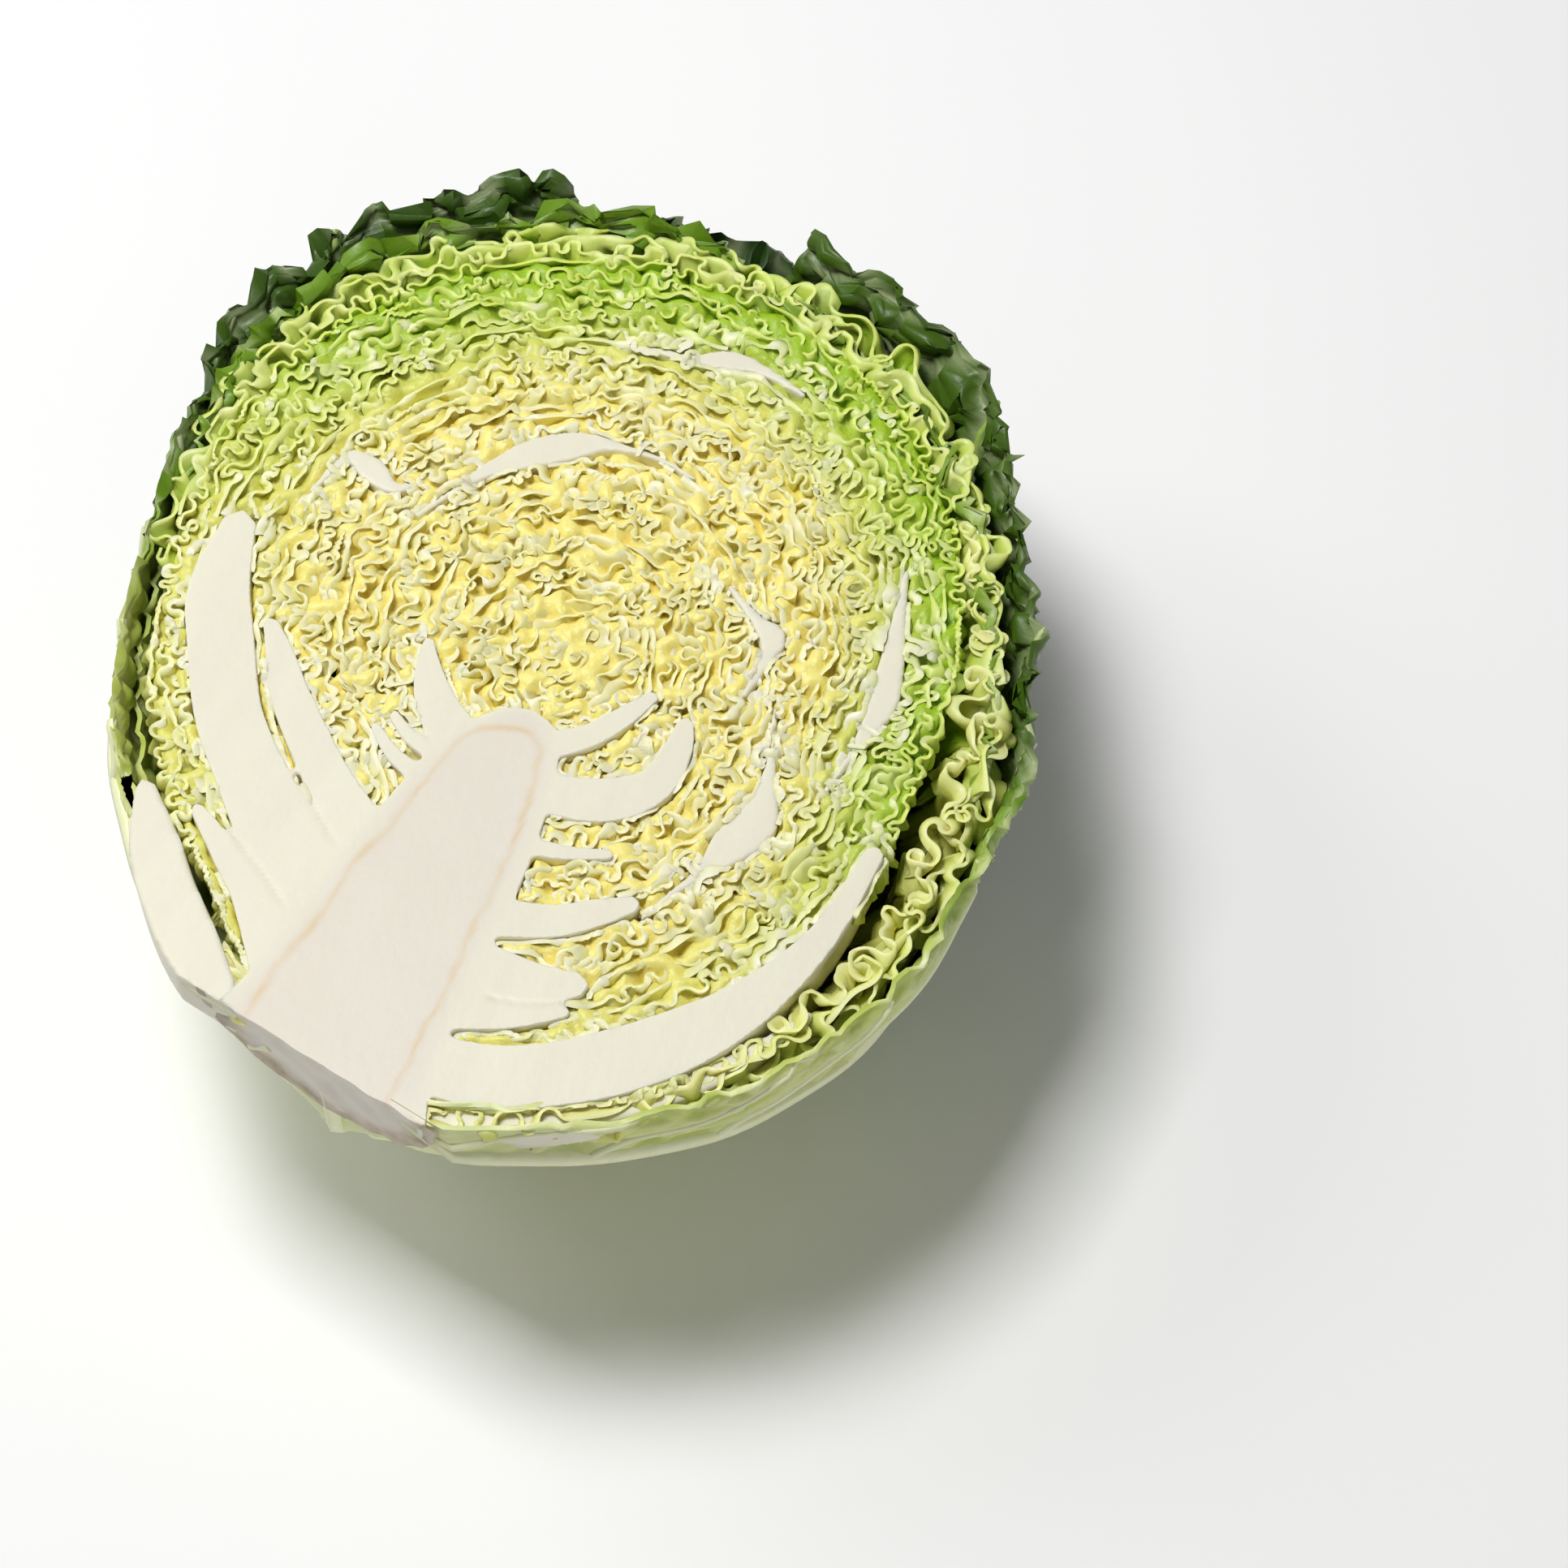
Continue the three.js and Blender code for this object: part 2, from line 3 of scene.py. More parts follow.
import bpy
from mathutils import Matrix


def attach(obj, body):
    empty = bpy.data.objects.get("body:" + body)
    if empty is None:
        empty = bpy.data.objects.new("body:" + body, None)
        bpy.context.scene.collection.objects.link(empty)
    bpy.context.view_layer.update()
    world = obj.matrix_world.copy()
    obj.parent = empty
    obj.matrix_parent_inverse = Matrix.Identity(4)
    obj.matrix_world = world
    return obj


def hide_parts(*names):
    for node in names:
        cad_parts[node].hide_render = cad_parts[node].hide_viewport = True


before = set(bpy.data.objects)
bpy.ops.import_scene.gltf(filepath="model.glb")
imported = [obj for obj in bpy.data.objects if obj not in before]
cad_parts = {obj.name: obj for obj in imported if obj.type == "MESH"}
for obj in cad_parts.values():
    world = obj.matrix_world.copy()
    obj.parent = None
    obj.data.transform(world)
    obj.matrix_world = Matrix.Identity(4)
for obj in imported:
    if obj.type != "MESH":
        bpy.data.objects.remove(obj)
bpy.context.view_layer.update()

import math

import bpy
import numpy as np
from bpy.props import FloatProperty, FloatVectorProperty, IntProperty, PointerProperty
from mathutils import Matrix

bl_info = {
    "name": "Halved Savoy Cabbage",
    "version": (1, 0, 0),
    "blender": (4, 5, 0),
    "location": "View3D > Sidebar > Cabbage",
    "description": "Makes a halved savoy cabbage with packed crinkled leaves, a stem and wrapper leaves",
    "category": "Add Mesh",
}

MM = 0.001

# The head's form, in millimetres. The cut face is the plane z = CUT_Z, and the stem runs along Y.
CUT_Z = 76.0
HEAD_RADII = [71.5, 76, 83.5, 88, 88, 82, 72.5, 70.3, 72.5, 85.5, 86, 79.5]
WRAPPER_RADII = [82.4, 80.6, 84.8, 89.2, 89.2, 83, 73.2, 71.2, 74.6, 86, 87, 86.8]
HEAD_DEPTH = 68.3
WRAPPER_DEPTH = 69.2
ROUND_TIP, ROUND_STEM = 2.0, 1.68
GROWING_POINT = (5.0, 1.0)
BUTT_Y, BUTT_SLOPE = -87.3, -0.167

# The core on the cut face: y, middle x, half width.
CORE_SECTIONS = [
    (-96, -1, 25), (-86, -1, 21), (-77, -0.5, 18.5), (-62, 0.5, 17), (-47, 1, 15.7), (-37, 1.7, 14.2),
    (-26, 2, 12), (-17, 2.8, 8.8), (-12, 3.2, 5), (-10.5, 3.3, 1.5),
]
CORE_FLATNESS = 0.76
# The strands that show in the cut core, as a line up one side, over the top and down the other.
CORE_STRANDS = [
    (-15.5, -86), (-14.5, -72), (-13, -62), (-11, -47), (-8, -32), (-5, -19.5), (0.5, -15.5), (4.5, -15),
    (8, -17.5), (11, -30), (12.5, -47), (13, -62), (13.5, -77), (14, -90),
]
# Leaf ribs that the cut runs along, grown on the core: x, y, half width.
RIBS = [
    [(-5, -22, 4.5), (-12.5, -16.5, 3.8), (-17, -11, 2.6), (-20, -5, 1)],
    [(-7, -25.5, 1.8), (-14, -24, 1.3), (-19, -21, 0.9)],
    [(-8, -30.5, 2), (-15, -28.5, 1.4), (-21, -24.5, 0.9)],
    [(-11, -46.5, 5.4), (-23, -38, 4.2), (-36.5, -26, 3.6), (-42, -19.5, 2.8), (-47.5, -13, 1.4)],
    [(-12, -60, 7.4), (-27, -50, 7), (-37, -41.5, 6.2), (-46, -32.5, 6), (-54, -20, 6), (-59.5, -10, 5.6),
     (-62.5, 4, 3)],
    [(-14, -73, 6), (-25, -63, 4), (-32, -58.5, 2.8), (-42, -52, 1.2)],
    [(7, -17, 3), (14, -11.5, 2.4), (18.5, -5, 2), (21.5, 1, 1.2)],
    [(8, -24.5, 3.5), (18, -23.3, 4.2), (25, -20, 4.2), (29.5, -14.5, 3.4), (30, -7, 2.6), (29, -1.5, 1.4)],
    [(11, -35.5, 2), (20, -34, 1.4), (28, -31, 0.9)],
    [(12, -51, 4), (24, -47, 3.2), (31, -42, 2.6), (36, -38, 1.5)],
    [(12, -60.5, 5.5), (25, -59.5, 4.5), (34, -56, 2.2)],
    [(12, -70, 4.4), (25, -66, 2.8), (34, -61.5, 1.1)],
    [(13, -80.5, 5.5), (27, -78, 6), (37, -73, 6), (47, -65.5, 6.2), (56, -56, 5.6), (63, -45, 4.2),
     (68.3, -30, 2.6), (70, -12, 1.8)],
]
# Ribs that the cut crosses, as white islands.
INNER_ISLANDS = [
    [(-34, 18, 0.5), (-30, 26, 0.7), (-26, 33, 1.6), (-20, 39.5, 3.2), (-13, 44.5, 2.8), (-8, 46.5, 1.2),
     (1, 47.5, 0.6), (9, 46, 0.5)],
    [(38, -40, 0.5), (41, -33, 0.7), (44, -27, 1.4), (46, -21, 3.6), (48.5, -14.5, 3.8), (47.5, -8, 1.8),
     (45, 0, 0.7), (42, 8, 0.5)],
    [(24, 28, 0.5), (31, 23.5, 1.2), (35.5, 21, 2.6), (36.5, 16.5, 1.3), (36, 8, 0.5)],
    [(-54, 15, 0.5), (-51, 24.5, 1.3), (-46, 24, 2.6), (-41, 22, 1.5), (-37, 24, 0.5)],
]
OUTER_ISLANDS = [
    [(52, 44, 0.5), (54.5, 35, 1.2), (57, 26, 2.2), (59, 17, 2.8), (59, 11.5, 1.8), (58, 3, 0.6),
     (57, -4, 0.5)],
    [(-16, 67, 0.5), (-9, 69, 0.6), (-2, 70, 1.2), (4, 72.5, 2.2), (11, 73, 1.2), (20, 71, 0.5)],
]
LOWER_BASE = [(19, -88.5, 2.6), (30, -84.5, 2.8), (41, -78.5, 2.8), (51, -71.5, 2.6), (60, -63, 2.2),
              (67, -53, 1.4), (72, -44, 0.7)]
WRAPPER_RIB = [(-19, -85, 3), (-30, -76.5, 5), (-39, -68.5, 5), (-46, -60.5, 4.4), (-52.5, -51.5, 1.8)]

# Wrapper leaves: midrib is how far under the head from +X its midrib runs, reach how far over the head
# it goes from the stem, spread half its width, all in degrees, and lift how far out it stands.
WRAPPERS = {
    "wrapper_inner_right": dict(midrib=52, reach=176, spread=50, lift=0.5, flare=1.5, flare_dip=8,
                                dark=0.42, seed=11),
    "wrapper_inner_left": dict(midrib=128, reach=176, spread=50, lift=2.6, flare=3, flare_dip=9,
                               dark=0.5, seed=12),
    "wrapper_right": dict(midrib=26, reach=176, spread=48, lift=4.7, flare=5.5, flare_dip=11, dark=0.85,
                          seed=13),
    "wrapper_left": dict(midrib=170, reach=158, spread=44, lift=4.7, flare=5.5, flare_dip=11, dark=0.9,
                         seed=14),
    "wrapper_bottom": dict(midrib=90, reach=173, spread=52, lift=6.8, flare=7, flare_dip=20, dark=1.0,
                           seed=15),
}
LEAF_FOOT = 8
LOOSE_ANGLES = (36, 66, 140, 170)
LOOSE_DIP = 40
LOOSE_SPREAD = 1.3

# Points on a packed leaf's plain line, on a frill's and across the half-round core, and the millimetres
# along a wrapper leaf for each radian that it turns.
RING_POINTS, FRILL_POINTS, CORE_POINTS = 1600, 1200, 25
WRAPPER_TURN = 80

# Lamps: their places and sizes in metres.
LAMPS = {"key": ((-0.30, 0.05, 1.15), 0.36), "side": ((-0.90, 0.10, 0.80), 0.6),
         "front": ((0.95, -0.5, 0.32), 0.5)}

# The camera's side of the cabbage: where it stands in millimetres, and which way it looks in degrees.
CAMERA_AZIMUTH, CAMERA_ELEVATION = 24, 61
CAMERA_PLACE = (200.58, -344.24, 744.01)
CAMERA_LENS = 100


def smoothstep(x, low, high):
    t = np.clip((np.asarray(x, float) - low) / (high - low), 0, 1)
    return t * t * (3 - 2 * t)


def spline(p0, p1, p2, p3, f):
    """The smooth curve from p1 to p2 between their neighbours, at a share f of the way."""
    return 0.5 * (2 * p1 + (p2 - p0) * f + (2 * p0 - 5 * p1 + 4 * p2 - p3) * f**2
                  + (3 * p1 - p0 - 3 * p2 + p3) * f**3)


def ring_value(values, angle):
    """A smooth value round the ring, from values every 30 degrees."""
    v = np.asarray(values, float)
    place = (np.asarray(angle) / (2 * np.pi) % 1) * len(v)
    i = np.floor(place).astype(int)
    f = place - i
    return spline(*(v[(i + k) % len(v)] for k in (-1, 0, 1, 2)), f)


def smooth_line(points, steps=6):
    """A smooth line through points of any number of columns."""
    p = np.asarray(points, float)
    q = np.vstack([2 * p[0] - p[1], p, 2 * p[-1] - p[-2]])
    f = np.linspace(0, 1, steps, endpoint=False)[:, None]
    parts = [spline(*near, f) for near in zip(q[:-3], q[1:-2], q[2:-1], q[3:])]
    return np.vstack(parts + [p[-1:]])


def roundness(angle):
    return ROUND_TIP + (ROUND_STEM - ROUND_TIP) * np.maximum(0, -np.sin(angle))


def waves(a, b, seed, sizes=(9, 6.5, 4.6, 3.4)):
    """Smooth noise over two lengths in millimetres, about -1 to 1."""
    rng = np.random.default_rng(seed)
    total = 0
    for size in sizes:
        for _ in range(3):
            turn, phase = rng.uniform(0, 2 * np.pi, 2)
            total = total + np.sin(2 * np.pi * (a * np.cos(turn) + b * np.sin(turn)) / size + phase)
    return total / math.sqrt(1.5 * len(sizes) * 3)


# Packed leaves -------------------------------------------------------------------------------------

def strip_gap(x, y, strip, steps):
    """Distance outside a strip of x, y, half width on the cut face, less than 0 in it."""
    far = np.full(np.shape(x), 1e9)
    dots = smooth_line(strip, steps)
    for a, b in zip(dots[:-1], dots[1:]):
        along = b[:2] - a[:2]
        t = np.clip(((x - a[0]) * along[0] + (y - a[1]) * along[1]) / (along @ along), 0, 1)
        gap = np.hypot(x - a[0] - t * along[0], y - a[1] - t * along[1]) - (a[2] + t * (b[2] - a[2]))
        far = np.minimum(far, gap)
    return far


def flesh_field(step=0.5, half=100):
    """Distance to the core and ribs on the cut face, and which way it grows."""
    line = np.arange(-half, half + step, step)
    x, y = np.meshgrid(line, line)
    ys, middles, halves = np.array(CORE_SECTIONS, float).T
    core = np.abs(x - np.interp(y, ys, middles)) - np.interp(y, ys, halves)
    far = np.where(y < ys[-1], core, np.hypot(x - middles[-1], y - ys[-1]) - halves[-1])
    for rib in RIBS + INNER_ISLANDS + OUTER_ISLANDS:
        far = np.minimum(far, strip_gap(x, y, rib, 4))
    slope_y, slope_x = np.gradient(far, step)
    return far, slope_x, slope_y, step, half


def read_field(field, points):
    far, slope_x, slope_y, step, half = field
    i = np.clip(np.rint((points[:, 1] + half) / step).astype(int), 0, far.shape[0] - 1)
    j = np.clip(np.rint((points[:, 0] + half) / step).astype(int), 0, far.shape[1] - 1)
    return far[i, j], slope_x[i, j], slope_y[i, j]


def head_line(share, angle):
    r = share * ring_value(HEAD_RADII, angle)
    return np.stack([GROWING_POINT[0] * (1 - share) + r * np.cos(angle),
                     GROWING_POINT[1] * (1 - share) + r * np.sin(angle)], -1)


def neighbours(points, chain, reach, cell=2.4):
    """Pairs of points close together that aren't next to each other on one leaf."""
    column = ((points[:, 0] + 120) / cell).astype(int)
    row = ((points[:, 1] + 120) / cell).astype(int)
    width = int(240 / cell) + 4
    key = row * width + column
    order = np.argsort(key, kind="stable")
    ranked = key[order]
    firsts, seconds = [], []
    for offset in (0, 1, width - 1, width, width + 1):
        low = np.searchsorted(ranked, key + offset, "left")
        count = np.searchsorted(ranked, key + offset, "right") - low
        first = np.repeat(np.arange(len(points)), count)
        start = np.repeat(np.cumsum(count) - count, count)
        second = order[np.arange(count.sum()) - start + np.repeat(low, count)]
        if offset == 0:
            once = first < second
            first, second = first[once], second[once]
        firsts.append(first)
        seconds.append(second)
    first, second = np.concatenate(firsts), np.concatenate(seconds)
    apart = (np.abs(first - second) > 3) | (chain[first] != chain[second])
    first, second = first[apart], second[apart]
    near = ((points[first] - points[second])**2).sum(1) < (reach + 0.6)**2
    return first[near], second[near]


def crinkle(base, chain, spacing, inner_limit, outer_limit, field, seed, reach=2.0, rounds=200,
            swing=1.1, hold=0.01):
    """Grows leaf edges that are too long for their place, so that they fold and pack together."""
    rng = np.random.default_rng(seed)
    count = len(base)
    start = 0
    for passes, share in ((10, 0.5), (60, 1.0)):
        noise = rng.normal(0, 1, base.shape)
        for _ in range(passes):
            noise = (np.roll(noise, 1, 0) + 2 * noise + np.roll(noise, -1, 0)) / 4
        start = start + share * noise / noise.std()
    points = base + swing * start
    link = np.where(chain[:-1] == chain[1:])[0]
    middle = np.intersect1d(link, link + 1)
    wide = 3
    body = np.arange(wide, count - wide)
    body = body[(chain[body - wide] == chain[body]) & (chain[body + wide] == chain[body])]
    rest = np.hypot(*(base[link + 1] - base[link]).T)
    room = reach * np.clip(1 + 0.45 * waves(base[:, 0], base[:, 1], seed + 8, (17, 11, 7)), 0.72, 1.5)
    stiff = (0.05 + 0.05 * waves(base[:, 0], base[:, 1], seed + 9, (19, 12)))[body, None]
    for turn in range(rounds):
        length = rest + (spacing - rest) * min(1, turn / 80)
        if turn % 4 == 0:
            first, second = neighbours(points, chain, reach * 1.4)
            wanted = (room[first] + room[second]) / 2
        gap = points[first] - points[second]
        distance = np.sqrt((gap**2).sum(1)) + 1e-9
        push = gap * (np.clip(wanted - distance, 0, None) / distance * 0.22)[:, None]
        for axis in (0, 1):
            points[:, axis] += (np.bincount(first, push[:, axis], count)
                                - np.bincount(second, push[:, axis], count))
        for _ in range(2):
            edge = points[link + 1] - points[link]
            now = np.sqrt((edge**2).sum(1)) + 1e-9
            change = edge * (0.3 * np.clip(now - length, -0.3, 0.3) / now)[:, None]
            points[link] += change
            points[link + 1] -= change
        points[body] += stiff * ((points[body - wide] + points[body + wide]) / 2 - points[body])
        points[middle] += 0.4 * ((points[middle - 1] + points[middle + 1]) / 2 - points[middle])
        points += hold * (base - points)
        far, slope_x, slope_y = read_field(field, points)
        out = np.clip(0.15 - far, 0, 1.5)
        points[:, 0] += out * slope_x
        points[:, 1] += out * slope_y
        angle = np.arctan2(points[:, 1], points[:, 0])
        radius = np.hypot(points[:, 0], points[:, 1])
        wanted_radius = np.clip(radius, inner_limit(angle), outer_limit(angle))
        points *= (wanted_radius / radius)[:, None]
    return points


def packed_lines(settings, field):
    """The cut lines of all the leaves of the tight head: points, their plain places, share and chain."""
    rng = np.random.default_rng(settings.seed)
    shares = np.linspace(0.05, 0.985, settings.leaf_count)
    shares[1:-1] += rng.uniform(-0.28, 0.28, len(shares) - 2) * (shares[1] - shares[0])
    around = np.linspace(-np.pi / 2, 1.5 * np.pi, RING_POINTS)
    base, chain, angles, share_of = [], [], [], []
    for share in shares:
        line = head_line(share, around)
        step = np.r_[0, np.hypot(*np.diff(line, axis=0).T)]
        uneven = waves(np.cumsum(step), np.full(RING_POINTS, 900 * share), settings.seed + 60, (75, 44, 27))
        growth = settings.crinkle_growth * np.clip(1 + 0.6 * uneven, 0.5, 1.3)
        length = np.cumsum(step * growth)
        count = max(14, int(length[-1] / settings.fold_step))
        angle = np.interp(np.linspace(0, length[-1], count), length, around)
        spots = head_line(share, angle)
        stray = np.stack([waves(*spots.T, 71, (42, 27)), waves(*spots.T, 72, (42, 27))], -1)
        spots = spots + 1.5 * share * (1 - share**8) * stray
        free = np.where(read_field(field, spots)[0] > -0.3)[0]
        for run in np.split(free, np.where(np.diff(free) > 1)[0] + 1):
            if len(run) > 6:
                chain += [chain[-1] + 1 if chain else 0] * len(run)
                base.append(spots[run])
                angles.append(angle[run])
                share_of.append(np.full(len(run), share))
    base, chain = np.vstack(base), np.array(chain)
    points = crinkle(base, chain, settings.fold_step, lambda a: 0 * a,
                     lambda a: ring_value(HEAD_RADII, a), field, settings.seed, settings.leaf_spacing)
    return points, base, np.concatenate(share_of), chain, np.concatenate(angles)


def lean(spots, below):
    """How far packed leaves lean aside at a depth under the cut, in step with their neighbours."""
    x, y = spots.T
    wide = [3.2 * waves(x + below, y, 61, (17, 11)), 3.2 * waves(x, y + below, 62, (17, 11))]
    fine = [1.5 * waves(x, y - below, 63, (8, 6)), 1.5 * waves(x - below, y, 64, (8, 6))]
    return (1 - np.exp(-below / 1.8))[:, None] * (np.stack(wide, -1) + np.stack(fine, -1))


def chain_sides(points, chain):
    """Unit sideways direction of each point of the leaf lines."""
    ahead = np.r_[points[1:], points[-1:]]
    behind = np.r_[points[:1], points[:-1]]
    last = np.r_[chain[1:] != chain[:-1], True]
    first = np.r_[True, chain[1:] != chain[:-1]]
    ahead[last] = points[last]
    behind[first] = points[first]
    along = ahead - behind
    along /= np.linalg.norm(along, axis=1, keepdims=True) + 1e-9
    return np.stack([-along[:, 1], along[:, 0]], -1)


def sheet_mesh(rows, halves, chain):
    """A thin closed wall along leaf lines: rows of points from the cut edge down, with half thicknesses."""
    count, depth = rows.shape[1], rows.shape[0]
    sides = []
    for sign in (1, -1):
        face = rows.copy()
        for row in range(depth):
            face[row, :, :2] += sign * halves[row][:, None] * chain_sides(rows[row, :, :2], chain)
        sides.append(face)
    verts = np.concatenate([sides[0].reshape(-1, 3), sides[1].reshape(-1, 3)])
    left = np.arange(depth * count).reshape(depth, count)
    right = left + depth * count
    link = np.where(chain[:-1] == chain[1:])[0]
    quads = []
    for row in range(depth - 1):
        quads.append(np.stack([left[row, link], left[row + 1, link], left[row + 1, link + 1],
                               left[row, link + 1]], -1))
        quads.append(np.stack([right[row, link], right[row, link + 1], right[row + 1, link + 1],
                               right[row + 1, link]], -1))
    quads.append(np.stack([left[0, link], left[0, link + 1], right[0, link + 1], right[0, link]], -1))
    quads.append(np.stack([left[-1, link], right[-1, link], right[-1, link + 1], left[-1, link + 1]], -1))
    first = np.where(np.r_[True, chain[1:] != chain[:-1]])[0]
    last = np.where(np.r_[chain[1:] != chain[:-1], True])[0]
    for row in range(depth - 1):
        quads.append(np.stack([left[row, first], right[row, first], right[row + 1, first],
                               left[row + 1, first]], -1))
        quads.append(np.stack([left[row, last], left[row + 1, last], right[row + 1, last],
                               right[row, last]], -1))
    return verts, np.concatenate(quads)


# Meshes, materials and nodes ------------------------------------------------------------------------

def facing_out(verts, faces):
    corners = verts[faces[:, :3]]
    fourth = verts[faces[:, [0, 2, 3]]] if faces.shape[1] == 4 else None
    volume = np.einsum("ij,ij->i", corners[:, 0], np.cross(corners[:, 1], corners[:, 2])).sum()
    if fourth is not None:
        volume += np.einsum("ij,ij->i", fourth[:, 0], np.cross(fourth[:, 1], fourth[:, 2])).sum()
    return faces if volume > 0 else faces[:, ::-1]


def new_piece(name, verts, faces, material, nodes, tones=None, sharp=None):
    """An object in metres from millimetre points, riding on the cabbage in place of CAD nodes."""
    faces = facing_out(verts, faces)
    mesh = bpy.data.meshes.new(name)
    mesh.vertices.add(len(verts))
    mesh.vertices.foreach_set("co", (verts * MM).astype(np.float32).ravel())
    sides = faces.shape[1]
    mesh.loops.add(len(faces) * sides)
    mesh.loops.foreach_set("vertex_index", faces.astype(np.int32).ravel())
    mesh.polygons.add(len(faces))
    mesh.polygons.foreach_set("loop_start", np.arange(len(faces), dtype=np.int32) * sides)
    mesh.update(calc_edges=True)
    mesh.polygons.foreach_set("use_smooth", np.ones(len(faces), bool))
    if tones is not None:
        layer = mesh.color_attributes.new("Tone", "FLOAT_COLOR", "POINT")
        layer.data.foreach_set("color", np.c_[tones, np.ones(len(tones))].astype(np.float32).ravel())
    if sharp is not None:
        mesh.set_sharp_from_angle(angle=math.radians(sharp))
    mesh.validate()
    return finish_piece(bpy.data.objects.new(name, mesh), material, nodes)


def finish_piece(piece, material, nodes):
    if piece.name not in bpy.context.scene.collection.objects:
        bpy.context.scene.collection.objects.link(piece)
    piece.data.materials.clear()
    piece.data.materials.append(material)
    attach(piece, "root")
    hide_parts(*nodes)
    return piece


def shader(name, roughness, subsurface=0.0, coat=0.0):
    """A new material with its node tree and shader."""
    material = bpy.data.materials.new(name)
    material.use_nodes = True
    tree = material.node_tree
    bsdf = tree.nodes["Principled BSDF"]
    bsdf.inputs["Roughness"].default_value = roughness
    bsdf.inputs["Subsurface Weight"].default_value = subsurface
    bsdf.inputs["Subsurface Radius"].default_value = (1.0, 0.75, 0.25)
    bsdf.inputs["Subsurface Scale"].default_value = 0.0025
    bsdf.inputs["Coat Weight"].default_value = coat
    bsdf.inputs["Coat Roughness"].default_value = 0.25
    return material, tree, bsdf


def mixed(tree, amount, first, second, kind="MIX"):
    """Mixes two colours, each a socket or a value, by an amount that is a socket or a number."""
    node = tree.nodes.new("ShaderNodeMix")
    node.data_type = "RGBA"
    node.blend_type = kind
    for socket, value in ((node.inputs[0], amount), (node.inputs[6], first), (node.inputs[7], second)):
        if isinstance(value, bpy.types.NodeSocket):
            tree.links.new(value, socket)
        elif isinstance(value, (int, float)):
            socket.default_value = value
        else:
            socket.default_value = (*value[:3], 1)
    return node.outputs[2]


def noise_of(tree, scale, detail=3.0, stretch=(1, 1, 1)):
    """Noise on the object's own coordinates, 0 to 1."""
    where = tree.nodes.new("ShaderNodeTexCoord")
    mapping = tree.nodes.new("ShaderNodeMapping")
    mapping.inputs["Scale"].default_value = stretch
    noise = tree.nodes.new("ShaderNodeTexNoise")
    noise.inputs["Scale"].default_value = scale
    noise.inputs["Detail"].default_value = detail
    tree.links.new(where.outputs["Object"], mapping.inputs["Vector"])
    tree.links.new(mapping.outputs["Vector"], noise.inputs["Vector"])
    return noise.outputs["Fac"]


def remapped(tree, value, low, high, to_low=0.0, to_high=1.0):
    node = tree.nodes.new("ShaderNodeMapRange")
    tree.links.new(value, node.inputs["Value"])
    for name, number in (("From Min", low), ("From Max", high), ("To Min", to_low), ("To Max", to_high)):
        node.inputs[name].default_value = number
    return node.outputs["Result"]


def tone_parts(tree):
    """The three tones painted on the mesh's points."""
    tone = tree.nodes.new("ShaderNodeVertexColor")
    tone.layer_name = "Tone"
    split = tree.nodes.new("ShaderNodeSeparateColor")
    tree.links.new(tone.outputs["Color"], split.inputs["Color"])
    return split.outputs["Red"], split.outputs["Green"], split.outputs["Blue"]


def bumped(tree, bsdf, height, strength, distance):
    node = tree.nodes.new("ShaderNodeBump")
    node.inputs["Strength"].default_value = strength
    node.inputs["Distance"].default_value = distance
    tree.links.new(height, node.inputs["Height"])
    tree.links.new(node.outputs["Normal"], bsdf.inputs["Normal"])


def leaf_material(looks):
    """Packed leaf: tones are cut edge, greenness and thick vein."""
    material, tree, bsdf = shader("savoy_packed_leaf", 0.4, 0.4, 0.05)
    bsdf.inputs["Specular IOR Level"].default_value = 0.35
    edge, green, vein = tone_parts(tree)
    face = mixed(tree, green, looks.leaf_yellow, looks.leaf_green)
    rim = mixed(tree, green, looks.leaf_edge, looks.leaf_green_edge)
    colour = mixed(tree, edge, face, rim)
    colour = mixed(tree, vein, colour, looks.leaf_vein)
    patches = remapped(tree, noise_of(tree, 140), 0.45, 0.75, 0.0, 0.2)
    colour = mixed(tree, patches, colour, looks.leaf_vein)
    tree.links.new(colour, bsdf.inputs["Base Color"])
    bumped(tree, bsdf, noise_of(tree, 900, 2), 0.25, 0.0004)
    return material


def bed_material(looks):
    material, tree, bsdf = shader("savoy_leaf_bed", 0.45, 0.2)
    high, green, _ = tone_parts(tree)
    # Painted shade: the bed runs from the darker leaf shade colour where it lies deep under the cut to leaf
    # yellow near the top.
    face = mixed(tree, high, looks.leaf_shade, looks.leaf_yellow)
    colour = mixed(tree, green, face, looks.leaf_green)
    tree.links.new(colour, bsdf.inputs["Base Color"])
    bumped(tree, bsdf, noise_of(tree, 400), 0.6, 0.001)
    return material


def flesh_material(looks):
    """Cut stem and ribs: tones are strand, rib whiteness and butt skin."""
    material, tree, bsdf = shader("savoy_flesh", 0.45, 0.25, 0.06)
    bsdf.inputs["Specular IOR Level"].default_value = 0.3
    strand, rib, skin = tone_parts(tree)
    colour = mixed(tree, rib, looks.core, looks.flesh)
    streaks = remapped(tree, noise_of(tree, 160, 4, (1, 0.16, 0.3)), 0.4, 0.75, 0.0, 0.35)
    colour = mixed(tree, streaks, colour, looks.core_shade)
    colour = mixed(tree, strand, colour, looks.strand)
    mottling = remapped(tree, noise_of(tree, 300, 5), 0.35, 0.8)
    mottled = mixed(tree, mottling, looks.butt_skin, looks.core_shade)
    colour = mixed(tree, skin, colour, mottled)
    tree.links.new(colour, bsdf.inputs["Base Color"])
    bumped(tree, bsdf, noise_of(tree, 700, 4, (1, 0.5, 1)), 0.2, 0.0005)
    return material


